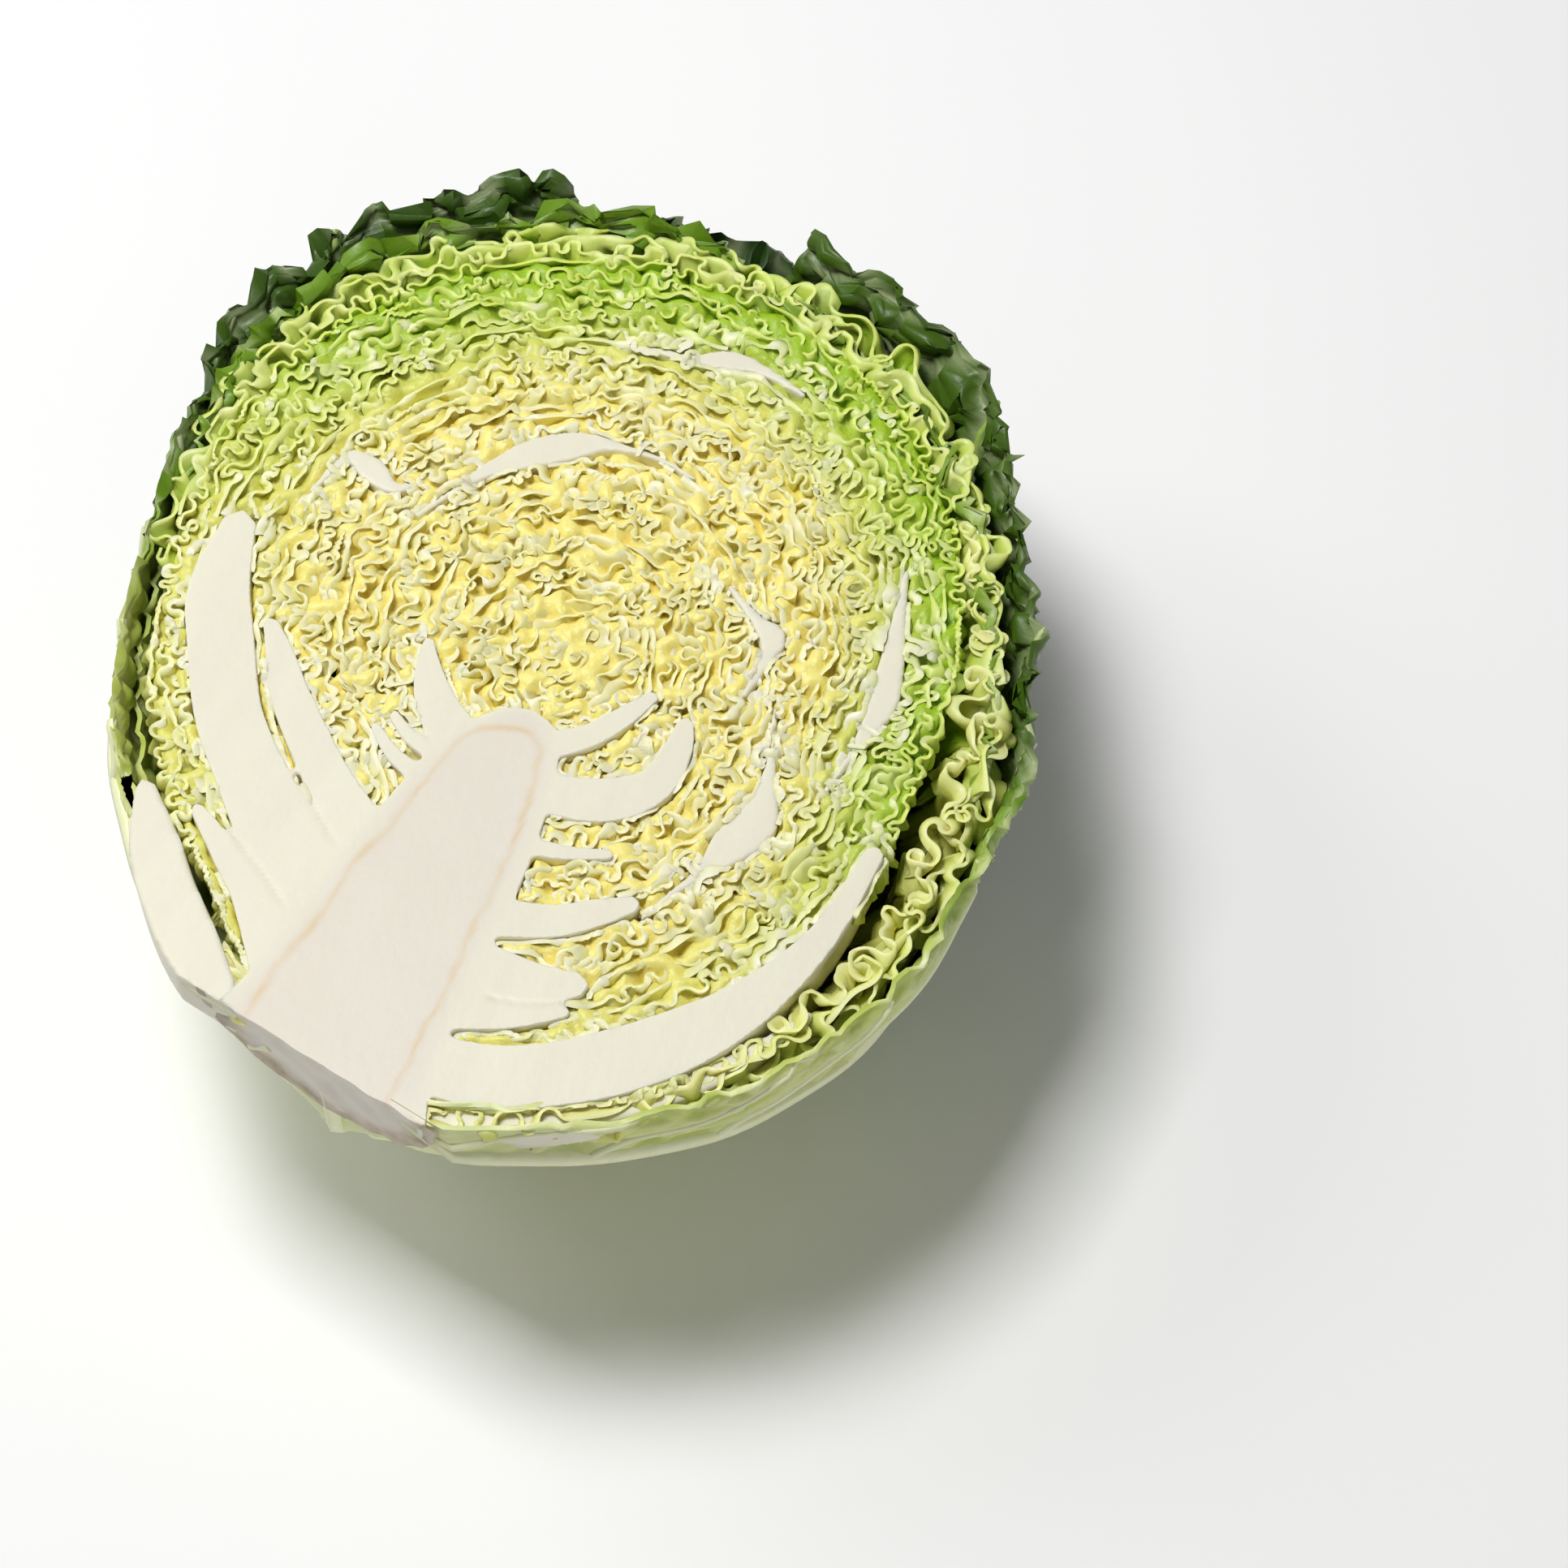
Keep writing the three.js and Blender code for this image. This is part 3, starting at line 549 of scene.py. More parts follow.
def wrapper_material(looks):
    """Wrapper leaf: tones are raised vein, darkness and painted shade in the hollows between veins."""
    material, tree, bsdf = shader("savoy_wrapper", 0.42, 0.0, 0.08)
    bsdf.inputs["Specular IOR Level"].default_value = 0.35
    vein, dark, hollow_shade = tone_parts(tree)
    middle = mixed(tree, remapped(tree, dark, 0.0, 0.5), looks.wrapper_pale, looks.wrapper_green)
    colour = mixed(tree, remapped(tree, dark, 0.45, 1.0), middle, looks.wrapper_dark)
    # Painted shade: a darker, greener multiply for the blister hollows. The same colour also gives random
    # darker blotches.
    blotch_and_pit_shade = mixed(tree, 1.0, colour, (0.60, 0.70, 0.34), "MULTIPLY")
    colour = mixed(tree, hollow_shade, colour, blotch_and_pit_shade)
    lighter = mixed(tree, remapped(tree, dark, 0.0, 1.0, 0.6, 0.2), colour, looks.wrapper_vein)
    colour = mixed(tree, vein, colour, lighter)
    blotch = remapped(tree, noise_of(tree, 60), 0.35, 0.7, 0.0, 0.35)
    colour = mixed(tree, blotch, colour, blotch_and_pit_shade)
    tree.links.new(colour, bsdf.inputs["Base Color"])
    bumped(tree, bsdf, noise_of(tree, 1100, 3), 0.25, 0.0004)
    return material


def vein_material(looks):
    material, tree, bsdf = shader("savoy_vein", 0.4, 0.0, 0.1)
    where = tree.nodes.new("ShaderNodeTexCoord")
    split = tree.nodes.new("ShaderNodeSeparateXYZ")
    tree.links.new(where.outputs["Object"], split.inputs["Vector"])
    towards_tip = remapped(tree, split.outputs["Y"], -0.03, 0.09)
    colour = mixed(tree, towards_tip, looks.wrapper_vein, looks.wrapper_green)
    colour = mixed(tree, remapped(tree, noise_of(tree, 500), 0.4, 0.7, 0, 0.3), colour, looks.wrapper_pale)
    tree.links.new(colour, bsdf.inputs["Base Color"])
    bumped(tree, bsdf, noise_of(tree, 900), 0.2, 0.0004)
    return material


def materials():
    looks = bpy.context.scene.cabbage_looks
    makers = {"savoy_packed_leaf": leaf_material, "savoy_leaf_bed": bed_material,
              "savoy_flesh": flesh_material, "savoy_wrapper": wrapper_material,
              "savoy_vein": vein_material}
    return {name: bpy.data.materials.get(name) or make(looks) for name, make in makers.items()}


def vein_nodes():
    """Geometry nodes: lines with a radius at each point become round veins of one material."""
    tree = bpy.data.node_groups.get("leaf_veins")
    if tree:
        return tree
    tree = bpy.data.node_groups.new("leaf_veins", "GeometryNodeTree")
    face = tree.interface
    face.new_socket("Geometry", in_out="INPUT", socket_type="NodeSocketGeometry")
    width = face.new_socket("Width", in_out="INPUT", socket_type="NodeSocketFloat")
    width.default_value = 1.0
    around = face.new_socket("Sides", in_out="INPUT", socket_type="NodeSocketInt")
    around.default_value = 6
    face.new_socket("Material", in_out="INPUT", socket_type="NodeSocketMaterial")
    face.new_socket("Geometry", in_out="OUTPUT", socket_type="NodeSocketGeometry")
    add = tree.nodes.new
    given, result = add("NodeGroupInput"), add("NodeGroupOutput")
    lines = add("GeometryNodeMeshToCurve")
    radius, times = add("GeometryNodeInputNamedAttribute"), add("ShaderNodeMath")
    ring, tube = add("GeometryNodeCurvePrimitiveCircle"), add("GeometryNodeCurveToMesh")
    real, paint = add("GeometryNodeRealizeInstances"), add("GeometryNodeSetMaterial")
    radius.data_type = "FLOAT"
    radius.inputs["Name"].default_value = "vein_radius"
    times.operation = "MULTIPLY"
    ring.inputs["Radius"].default_value = 1.0
    tube.inputs["Fill Caps"].default_value = True
    join = tree.links.new
    join(given.outputs["Geometry"], lines.inputs["Mesh"])
    join(radius.outputs["Attribute"], times.inputs[0])
    join(given.outputs["Width"], times.inputs[1])
    join(times.outputs["Value"], tube.inputs["Scale"])
    join(given.outputs["Sides"], ring.inputs["Resolution"])
    join(lines.outputs["Curve"], tube.inputs["Curve"])
    join(ring.outputs["Curve"], tube.inputs["Profile Curve"])
    join(tube.outputs["Mesh"], real.inputs["Geometry"])
    join(real.outputs["Geometry"], paint.inputs["Geometry"])
    join(given.outputs["Material"], paint.inputs["Material"])
    join(paint.outputs["Geometry"], result.inputs["Geometry"])
    return tree


def vein_piece(name, lines, radii, material, nodes, width):
    """Round veins along lines in millimetres, made by the geometry nodes above."""
    points = np.concatenate(lines) * MM
    edges, start = [], 0
    for line in lines:
        edges += [(start + k, start + k + 1) for k in range(len(line) - 1)]
        start += len(line)
    mesh = bpy.data.meshes.new(name)
    mesh.from_pydata(points.tolist(), edges, [])
    layer = mesh.attributes.new("vein_radius", "FLOAT", "POINT")
    layer.data.foreach_set("value", (np.concatenate(radii) * MM).astype(np.float32))
    piece = bpy.data.objects.new(name, mesh)
    bpy.context.scene.collection.objects.link(piece)
    modifier = piece.modifiers.new("Veins", "NODES")
    modifier.node_group = vein_nodes()
    ids = {item.name: item.identifier for item in modifier.node_group.interface.items_tree
           if item.in_out == "INPUT"}
    modifier[ids["Width"]] = width
    modifier[ids["Sides"]] = 6
    modifier[ids["Material"]] = material
    made = bpy.data.meshes.new_from_object(piece.evaluated_get(bpy.context.evaluated_depsgraph_get()))
    piece.modifiers.remove(modifier)
    piece.data = made
    made.polygons.foreach_set("use_smooth", np.ones(len(made.polygons), bool))
    return finish_piece(piece, material, nodes)


# Stem, ribs and other cut flesh ---------------------------------------------------------------------

def strip_solid(line, depth, top):
    """A closed strip along x, y, half width, from a height down."""
    dots = smooth_line(line, 6)
    ahead = np.r_[dots[1:], dots[-1:]]
    behind = np.r_[dots[:1], dots[:-1]]
    along = (ahead - behind)[:, :2]
    along /= np.linalg.norm(along, axis=1, keepdims=True)
    side = np.stack([-along[:, 1], along[:, 0]], -1)
    tip = dots[-1, :2] + along[-1] * dots[-1, 2] * 0.8
    left = dots[:, :2] + side * dots[:, 2:3]
    right = dots[:, :2] - side * dots[:, 2:3]
    loop = np.vstack([left, tip[None], right[::-1]])
    count = len(loop)
    middle = np.vstack([loop, loop])
    verts = np.c_[middle, np.r_[np.full(count, top), np.full(count, top - depth)]]
    faces = [tuple(range(count)), tuple(range(2 * count - 1, count - 1, -1))]
    faces += [(k, k + count, (k + 1) % count + count, (k + 1) % count) for k in range(count)]
    return verts, faces


def core_solid():
    """The core below the cut face, half round and flattened, along the stem."""
    sections = smooth_line(CORE_SECTIONS, 4)
    count = CORE_POINTS
    turns = np.linspace(0, np.pi, count)
    rows = [np.c_[mid + half * np.cos(turns), np.full(count, y), CUT_Z - CORE_FLATNESS * half * np.sin(turns)]
            for y, mid, half in sections]
    verts = np.concatenate(rows)
    faces = []
    for first in range(0, len(verts) - count, count):
        last, after = first + count - 1, first + count
        faces += [(a, a + 1, a + count + 1, a + count) for a in range(first, last)]
        faces.append((last, first, after, last + count))
    faces.append(tuple(range(count)))
    faces.append(tuple(range(len(verts) - 1, len(verts) - count - 1, -1)))
    return verts, faces


def remeshed(name, solids, voxel, smoothing):
    """Closed solids that run into each other become one smooth skin: points in millimetres, quads."""
    verts, faces, start = [], [], 0
    for points, polygons in solids:
        verts.append(points)
        faces += [tuple(int(k) + start for k in polygon) for polygon in polygons]
        start += len(points)
    mesh = bpy.data.meshes.new(name)
    mesh.from_pydata((np.concatenate(verts) * MM).tolist(), [], faces)
    rough = bpy.data.objects.new(name, mesh)
    bpy.context.scene.collection.objects.link(rough)
    remesh = rough.modifiers.new("Remesh", "REMESH")
    remesh.mode = "VOXEL"
    remesh.voxel_size = voxel * MM
    smooth = rough.modifiers.new("Smooth", "SMOOTH")
    smooth.factor = 0.5
    smooth.iterations = smoothing
    made = bpy.data.meshes.new_from_object(rough.evaluated_get(bpy.context.evaluated_depsgraph_get()))
    points = np.empty(len(made.vertices) * 3, np.float32)
    made.vertices.foreach_get("co", points)
    corners = np.empty(len(made.loops), np.int32)
    made.loops.foreach_get("vertex_index", corners)
    bpy.data.objects.remove(rough)
    bpy.data.meshes.remove(mesh)
    quads = corners.reshape(-1, 4)
    bpy.data.meshes.remove(made)
    return points.reshape(-1, 3).astype(float) / MM, quads


def line_distance(points, line):
    best = np.full(len(points), 1e9)
    for a, b in zip(line[:-1], line[1:]):
        along = b - a
        t = np.clip(((points - a) @ along) / (along @ along), 0, 1)
        best = np.minimum(best, np.linalg.norm(points - a - t[:, None] * along, axis=1))
    return best


def rib_seams(points):
    """Where two ribs meet on the cut face: 1 on the seam between them, 0 away from it."""
    gaps = [strip_gap(points[:, 0], points[:, 1], rib, 3) for rib in RIBS]
    nearest, second = np.sort(np.stack(gaps), axis=0)[:2]
    return np.exp(-((second - nearest) / 0.45)**2) * (points[:, 2] > CUT_Z - 1.5)


def make_stem(settings):
    solids = [core_solid()] + [strip_solid(rib, 10, CUT_Z) for rib in RIBS]
    verts, faces = remeshed("stem", solids, settings.flesh_grain, 2)
    butt = BUTT_Y + BUTT_SLOPE * verts[:, 0]
    sawn = waves(verts[:, 0], verts[:, 2], 5, (14, 7)) * 0.25
    at_butt = verts[:, 1] < butt + 0.4
    verts[:, 1] = np.maximum(verts[:, 1], butt + sawn)
    flat = smoothstep(verts[:, 2], CUT_Z - 0.8, CUT_Z - 0.45)
    level = CUT_Z - 0.06 + 0.04 * waves(verts[:, 0], verts[:, 1], 8, (31, 17))
    verts[:, 2] += flat * (level - verts[:, 2])
    ys, middles, halves = np.array(CORE_SECTIONS, float).T
    beside = np.abs(verts[:, 0] - np.interp(verts[:, 1], ys, middles)) - np.interp(verts[:, 1], ys, halves)
    rib = smoothstep(beside, -4.5, 1.5)
    wander = 0.5 * waves(verts[:, 0], verts[:, 1], 9, (16, 9, 5))[:, None]
    strand_far = line_distance(verts[:, :2] + wander, smooth_line(CORE_STRANDS, 6))
    patchy = 0.55 + 0.45 * smoothstep(waves(verts[:, 0], verts[:, 1], 4, (13, 7)), -0.6, 0.8)
    strand = 0.8 * np.exp(-(strand_far / 0.6)**2) * patchy * (verts[:, 2] > CUT_Z - 2)
    seam = rib_seams(verts) * smoothstep(beside, 0.5, 4)
    verts[:, 2] -= 0.25 * seam
    strand = np.maximum(strand, 0.4 * seam * patchy)
    half = np.interp(verts[:, 1], ys, halves)
    from_middle = np.hypot(beside + half, (CUT_Z - verts[:, 2]) / CORE_FLATNESS)
    skin = at_butt * smoothstep(from_middle / half, 0.78, 1.0)
    below, towards_butt = CUT_Z - verts[:, 2], -verts[:, 1]
    skin = np.maximum(skin, (~at_butt) * smoothstep(below, 3, 9) * smoothstep(towards_butt, 60, 80))
    tones = np.stack([strand, rib, skin], -1)
    new_piece("stem_and_ribs", verts, faces, materials()["savoy_flesh"], ["core_and_ribs"],
              tones)


def make_islands(settings):
    """The leaf ribs that the cut crosses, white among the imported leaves."""
    groups = [("inner_rib_sections", INNER_ISLANDS, "inner_leaves", "inner_leaf"),
              ("outer_rib_sections", OUTER_ISLANDS, "outer_head_leaves", "outer_leaf")]
    for name, islands, node, slot in groups:
        solids = [strip_solid(island, 9, CUT_Z - 0.7) for island in islands]
        verts, faces = remeshed(name, solids, settings.flesh_grain, 2)
        tones = np.tile([0.0, 1.0, 0.0], (len(verts), 1))
        new_piece(name, verts, faces, materials()["savoy_flesh"], [node], tones)


# Leaves of the tight head ---------------------------------------------------------------------------

def greenness(share, angle):
    """How green a packed leaf is: most at the edge round the tip and the right of the head."""
    side = 0.3 + 0.7 * smoothstep(np.sin(angle) + 0.35 * np.cos(angle), -0.5, 0.5)
    return smoothstep(share, 0.6, 0.97) * side


def leaf_rows(points, base, share, angle, chain, settings, depth=6.0):
    """Rows of points from the cut edge down for packed leaves, with half thicknesses and tones."""
    spot = np.arange(len(points)) * settings.fold_step
    levels = np.array([0, 0.12, 0.45, 1.0])
    centre = np.array(GROWING_POINT) * (1 - share)[:, None]
    reach = np.minimum(1, 0.5 * share * HEAD_DEPTH / depth)
    round_off = roundness(angle)
    sideways = chain_sides(points, chain)
    fold = points - base
    uneven = (0.5 * waves(points[:, 0], points[:, 1], 20, (19, 12, 8))
              + 0.45 * waves(spot, share * 300, 21, (21, 12, 8)) - 0.6)
    uneven = np.minimum(uneven, 0.1)
    rows, halves = [], []
    for level in levels:
        below = depth * level * reach
        narrow = np.maximum(0, 1 - (below / (share * HEAD_DEPTH))**round_off)**(1 / round_off)
        plain = centre + (base - centre) * narrow[:, None]
        swell = waves(spot, below * 2, 31, (9, 6, 4.5))
        bulge = waves(spot, below * 2, 32, (8, 5.5, 4))
        near = 1 - np.exp(-below / 2)
        keep = 1 - 0.35 * level + 0.6 * swell * near
        spots = plain + fold * keep[:, None] + sideways * (1.1 * bulge * near)[:, None]
        spots = spots + lean(points, below) * (1 - 0.7 * smoothstep(share, 0.88, 1))[:, None]
        rows.append(np.c_[spots, CUT_Z + uneven * (1 - level) - below])
    rng = np.random.default_rng(77)
    vein = np.zeros(len(points))
    for place in rng.choice(len(points), int(len(points) * settings.fold_step / 30)):
        width = rng.uniform(0.7, 2.4)
        near = np.abs(np.arange(len(points)) - place) * settings.fold_step
        vein = np.maximum(vein, rng.uniform(0.3, 1.0) * np.exp(-(near / width)**2))
    base_far = read_field(flesh_field_cached(), base)[0]
    root = np.exp(-np.clip(base_far, 0, None) / 2.5)
    half = settings.leaf_thickness / 2 * (0.7 + 0.45 * share) * (1 + 1.6 * vein + 0.8 * root)
    for level in levels:
        halves.append(half * (1 + 0.3 * min(1, level * 3)))
    green = greenness(share, angle)
    tones = []
    for level in levels:
        edge = np.full(len(points), math.exp(-level * 6))
        whiteness = np.clip(0.75 * vein + 0.7 * root, 0, 1) * math.exp(-level * 7)
        tones.append(np.stack([edge, green, whiteness], -1))
    tones = np.concatenate(tones)
    return np.array(rows), halves, np.concatenate([tones, tones])


FIELD = []


def flesh_field_cached():
    if not FIELD:
        FIELD.append(flesh_field())
    return FIELD[0]


def make_packed_leaves(settings):
    points, base, share, chain, angle = packed_lines(settings, flesh_field_cached())
    groups = [
        ("heart_leaf_folds", "heart_leaves", "heart_leaf", 0.0, 0.4),
        ("inner_leaf_folds_a", "inner_leaves", "inner_leaf", 0.4, 0.58),
        ("inner_leaf_folds_b", "inner_leaves", "inner_leaf", 0.58, 0.74),
        ("outer_leaf_folds_a", "outer_head_leaves", "outer_leaf", 0.74, 0.87),
        ("outer_leaf_folds_b", "outer_head_leaves", "outer_leaf", 0.87, 1.0),
    ]
    rows, halves, tones = leaf_rows(points, base, share, angle, chain, settings)
    count, depth = len(points), len(rows)
    tones = tones.reshape(2, depth, count, 3)
    for name, node, slot, low, high in groups:
        mine = (share >= low) & (share < high)
        verts, faces = sheet_mesh(rows[:, mine], [half[mine] for half in halves], chain[mine])
        new_piece(name, verts, faces, materials()["savoy_packed_leaf"], [node],
                  tones[:, :, mine].reshape(-1, 3), sharp=75)


def make_bed(settings):
    """The closed bowl of leaf under the crinkled edges, with the head's round back."""
    columns = 300
    angle = np.linspace(0, 2 * np.pi, columns, endpoint=False)
    rings, tones = [], []
    for share in np.linspace(0.03, 0.985, 76):
        spots = head_line(share, angle)
        lumps = waves(spots[:, 0], spots[:, 1], 41, (7.5, 5.2, 4))
        far = read_field(flesh_field_cached(), spots)[0]
        below = np.clip(1.7 + 1.5 * lumps, 0.6, 5) * min(1, 0.4 + 3 * share)
        below = below * (0.5 + 0.5 * smoothstep(far, 0, 3)) + 3.5 * smoothstep(-far, -0.6, 0.2)
        rings.append(np.c_[spots, CUT_Z - below])
        # The first tone is painted shade: 0 where the bed lies deep under the cut, 1 near the top.
        tones.append(np.stack([smoothstep(-below, -3.8, -1), greenness(share, angle), np.zeros(columns)], -1))
    for dip in np.radians(np.linspace(6, 88, 28)):
        taper = 2 / roundness(angle)
        radius = (ring_value(HEAD_RADII, angle) - 0.4) * np.cos(dip)**taper
        rings.append(np.c_[radius * np.cos(angle), radius * np.sin(angle),
                           CUT_Z - HEAD_DEPTH * np.sin(dip)**taper])
        tones.append(np.stack([np.ones(columns), np.full(columns, 0.75), np.zeros(columns)], -1))
    verts = np.concatenate(rings)
    grid = np.arange(len(verts)).reshape(-1, columns)
    after = np.roll(grid, -1, 1)
    quads = np.stack([grid[:-1], grid[1:], after[1:], after[:-1]], -1).reshape(-1, 4)
    top, bottom = len(verts), len(verts) + 1
    verts = np.vstack([verts, [*GROWING_POINT, CUT_Z - 1.5], [0, 0, CUT_Z - HEAD_DEPTH]])
    triangles = np.concatenate([quads[:, :3], quads[:, [0, 2, 3]],
                                np.stack([np.full(columns, top), grid[0], after[0]], -1),
                                np.stack([np.full(columns, bottom), after[-1], grid[-1]], -1)])
    tones = np.concatenate(tones + [np.array([[1, 0, 0], [1, 0.75, 0]])])
    new_piece("leaf_bed", verts, triangles, materials()["savoy_leaf_bed"], ["outer_head_leaves"],
              tones)


# Loose leaves that stand in folds beside the head: where they run in degrees, how far out they stand from
# the head towards the wrappers, then past them in mm, and how long, deep and green they are.
FRILLS = [
    dict(name="ruffled_leaf_folds", node="ruffled_leaf", slot="loose_leaf", span=(-62, 44), gap=0.62,
         past=0, growth=2.1, depth=26, green=0.42, lean=0.1, drop=1.2, seed=91),
    dict(name="ruffled_leaf_middle", node="ruffled_leaf", slot="loose_leaf", span=(-58, 42), gap=0.85,
         past=0.4, growth=1.9, depth=24, green=0.5, lean=0.1, drop=1.6, seed=97),
    dict(name="ruffled_leaf_margin", node="ruffled_leaf", slot="loose_leaf", span=(-54, 38), gap=1,
         past=1.6, growth=1.7, depth=22, green=0.62, lean=0.1, drop=2.4, seed=92),
    dict(name="lower_leaf_frill", node="outer_head_leaves", slot="outer_leaf", span=(-104, -40), gap=1,
         past=0.4, growth=1.5, depth=9, green=0.2, lean=0, drop=0.6, seed=96),
    dict(name="lower_leaf_margin", node="wrapper_inner_right", slot="wrapper_leaf", span=(-98, -40), gap=1,
         past=2.8, growth=1.35, depth=9, green=0.3, lean=0, drop=0.9, seed=98),
    dict(name="inner_right_frill", node="wrapper_inner_right", slot="wrapper_leaf", span=(8, 176), gap=1,
         past=0.8, growth=1.75, depth=15, green=0.85, lean=0.5, drop=0.6, seed=93),
    dict(name="inner_left_frill", node="wrapper_inner_left", slot="wrapper_leaf", span=(22, 190), gap=1,
         past=3.2, growth=1.6, depth=15, green=1.0, lean=0.5, drop=1.0, seed=94),
    dict(name="left_frill", node="wrapper_left", slot="wrapper_leaf", span=(40, 168), gap=1,
         past=5.6, growth=1.4, depth=13, green=1.15, lean=0.55, drop=1.6, seed=95),
]


def make_frill(frill, settings):
    """A loose leaf's folded edge, standing beside the head."""
    span = np.radians(np.linspace(*frill["span"], FRILL_POINTS))
    inner, outer = ring_value(HEAD_RADII, span), ring_value(WRAPPER_RADII, span)
    ends = smoothstep(span, span[0], span[0] + 0.35) * smoothstep(-span, -span[-1], -span[-1] + 0.35)
    radius = inner + frill["gap"] * (outer - inner) + frill["past"] * ends
    line = radius[:, None] * np.stack([np.cos(span), np.sin(span)], -1)
    length = np.r_[0, np.cumsum(np.hypot(*np.diff(line, axis=0).T))]
    count = int(length[-1] * frill["growth"] / settings.fold_step)
    angle = np.interp(np.linspace(0, length[-1], count), length, span)
    base = np.interp(angle, span, radius)[:, None] * np.stack([np.cos(angle), np.sin(angle)], -1)
    chain = np.zeros(count, int)
    points = crinkle(base, chain, settings.fold_step, lambda a: ring_value(HEAD_RADII, a) + 0.5,
                     lambda a: ring_value(WRAPPER_RADII, a) + 1.7 * frill["past"] + 0.5,
                     flesh_field_cached(), frill["seed"], reach=2.2, swing=1.9, hold=0.006)
    spot = np.arange(count) * settings.fold_step
    levels = np.array([0, 0.04, 0.1, 0.2, 0.34, 0.6, 1.0])
    rows, halves, tones = [], [], []
    taper = 2 / roundness(angle)
    fold = points - base
    top = CUT_Z - frill["drop"] * (1 + waves(spot, 0 * spot, frill["seed"] + 1, (33, 19, 12)))
    top = np.minimum(top, CUT_Z + 0.3)
    for level in levels:
        below = frill["depth"] * level
        narrow = np.maximum(0, 1 - (below / HEAD_DEPTH)**(2 / taper))**(taper / 2)
        narrow = narrow - frill["lean"] * below / np.interp(angle, span, radius)
        swell = waves(spot, np.full(count, below), frill["seed"] + 2, (14, 9, 7))
        keep = (0.3 + 0.7 * np.exp(-below / 7)) * (1 + 0.45 * swell * min(1, below / 2.5))
        spots = base * narrow[:, None] + fold * keep[:, None] + 0.8 * lean(points, np.full(count, below))
        rows.append(np.c_[spots, top + (CUT_Z - top) * level - below])
        halves.append(np.full(count, 0.3 + 0.12 * level))
        tones.append(np.stack([np.full(count, math.exp(-level * 22)),
                               np.clip(frill["green"] * (0.75 + 0.5 * level) + 0.12 * swell, 0, 1.2),
                               np.zeros(count)], -1))
    tones = np.concatenate(tones)
    verts, faces = sheet_mesh(np.array(rows), halves, chain)
    new_piece(frill["name"], verts, faces, materials()["savoy_packed_leaf"], [frill["node"]],
              np.concatenate([tones, tones]), sharp=75)


# Wrapper leaves -------------------------------------------------------------------------------------

def blisters(a, b, seed, size=7.0):
    """Rounded cells over two lengths in millimetres: distance from the veins between cells, 0 to 1."""
    rng = np.random.default_rng(seed)
    jitter = rng.uniform(0.08, 0.92, (64, 64, 2))
    a, b = a / size + 20, b / size + 20
    column, row = np.floor(a).astype(int), np.floor(b).astype(int)
    first = np.full(a.shape, 9.0)
    second = np.full(a.shape, 9.0)
    for step_a in (-1, 0, 1):
        for step_b in (-1, 0, 1):
            spot = jitter[(column + step_a) % 64, (row + step_b) % 64]
            far = np.hypot(column + step_a + spot[..., 0] - a, row + step_b + spot[..., 1] - b)
            second = np.where(far < first, first, np.minimum(second, far))
            first = np.minimum(first, far)
    rise = np.clip((second - first - 0.03) / 0.75, 0, 1)
    return 1 - (1 - rise)**2.2


def leaf_width(along):
    rising = 0.3 + 0.7 * np.sin(np.clip(along / 0.6, 0, 1) * np.pi / 2)
    falling = np.sqrt(np.clip(1 - 0.88 * (np.clip(along - 0.6, 0, 1) / 0.4)**2, 0, 1))
    return np.where(along < 0.6, rising, falling)


def leaf_limits(shape, over):
    """How far a wrapper leaf turns to each side before its edge or the cut."""
    half = np.radians(shape["spread"]) * leaf_width((np.degrees(over) - LEAF_FOOT)
                                                    / (shape["reach"] - LEAF_FOOT))
    under = math.radians(shape["midrib"])
    if abs(math.cos(under)) < 1e-6:
        return -half, half
    limit = np.arctan(-np.sin(over) * math.tan(under))
    if math.cos(under) > 0:
        return np.maximum(-half, limit), half
    return -half, np.minimum(half, limit)


def leaf_form(shape, over, turn):
    """Points of a wrapper leaf's plain inner face, in millimetres, and how loose they are."""
    under = math.radians(shape["midrib"])
    seed = shape["seed"]
    x = np.cos(turn) * np.sin(over) * math.cos(under) - np.sin(turn) * math.sin(under)
    y = -np.cos(turn) * np.cos(over)
    z = -np.cos(turn) * np.sin(over) * math.sin(under) - np.sin(turn) * math.cos(under)
    dip = np.arcsin(np.clip(-z, 0, 1))
    angle = np.arctan2(y, x)
    degrees, slope = np.degrees(angle), np.degrees(dip)
    rise_from, rise_to, fall_from, fall_to = LOOSE_ANGLES
    around = smoothstep(degrees, rise_from, rise_to) * (1 - smoothstep(degrees, fall_from, fall_to))
    wide_around = smoothstep(degrees, -30, 40) * (1 - smoothstep(degrees, 150, 185))
    loose = around * np.maximum(0, 1 - slope / LOOSE_DIP)**1.5
    lip = wide_around * np.maximum(0, 1 - slope / shape["flare_dip"])**2
    crest = np.abs(np.sin(np.pi * degrees / 7.5 + 2.6 * waves(degrees, 0 * degrees, 70, (60, 37))
                          + 0.35 * seed))
    crest = 2 * crest**0.7 - 1
    ruffle = 0.8 * crest + 1.1 * waves(degrees * 1.5, slope * 1.5, seed + 4, (19, 12, 9))
    lobes = blisters(degrees * 1.5, slope * 1.5, seed + 8, 7.5)
    out = (shape["lift"] * (1 + LOOSE_SPREAD * loose) + loose * (1 + ruffle)
           + shape["flare"] * lip * (0.72 + 0.14 * crest + 0.32 * lobes)
           + 0.5 * waves(WRAPPER_TURN * over, WRAPPER_TURN * turn, seed + 5, (38, 24)))
    sag = lip * (0.9 + 0.9 * waves(degrees * 1.5, 0 * degrees, seed + 6, (26, 15, 9))) * 1.6
    taper = 2 / roundness(angle)
    radius = (ring_value(WRAPPER_RADII, angle) + out) * np.cos(dip)**taper
    below = (WRAPPER_DEPTH + out) * np.sin(dip)**taper + np.maximum(sag, 0)
    return np.stack([radius * np.cos(angle), radius * np.sin(angle), CUT_Z - below], -1), loose + lip


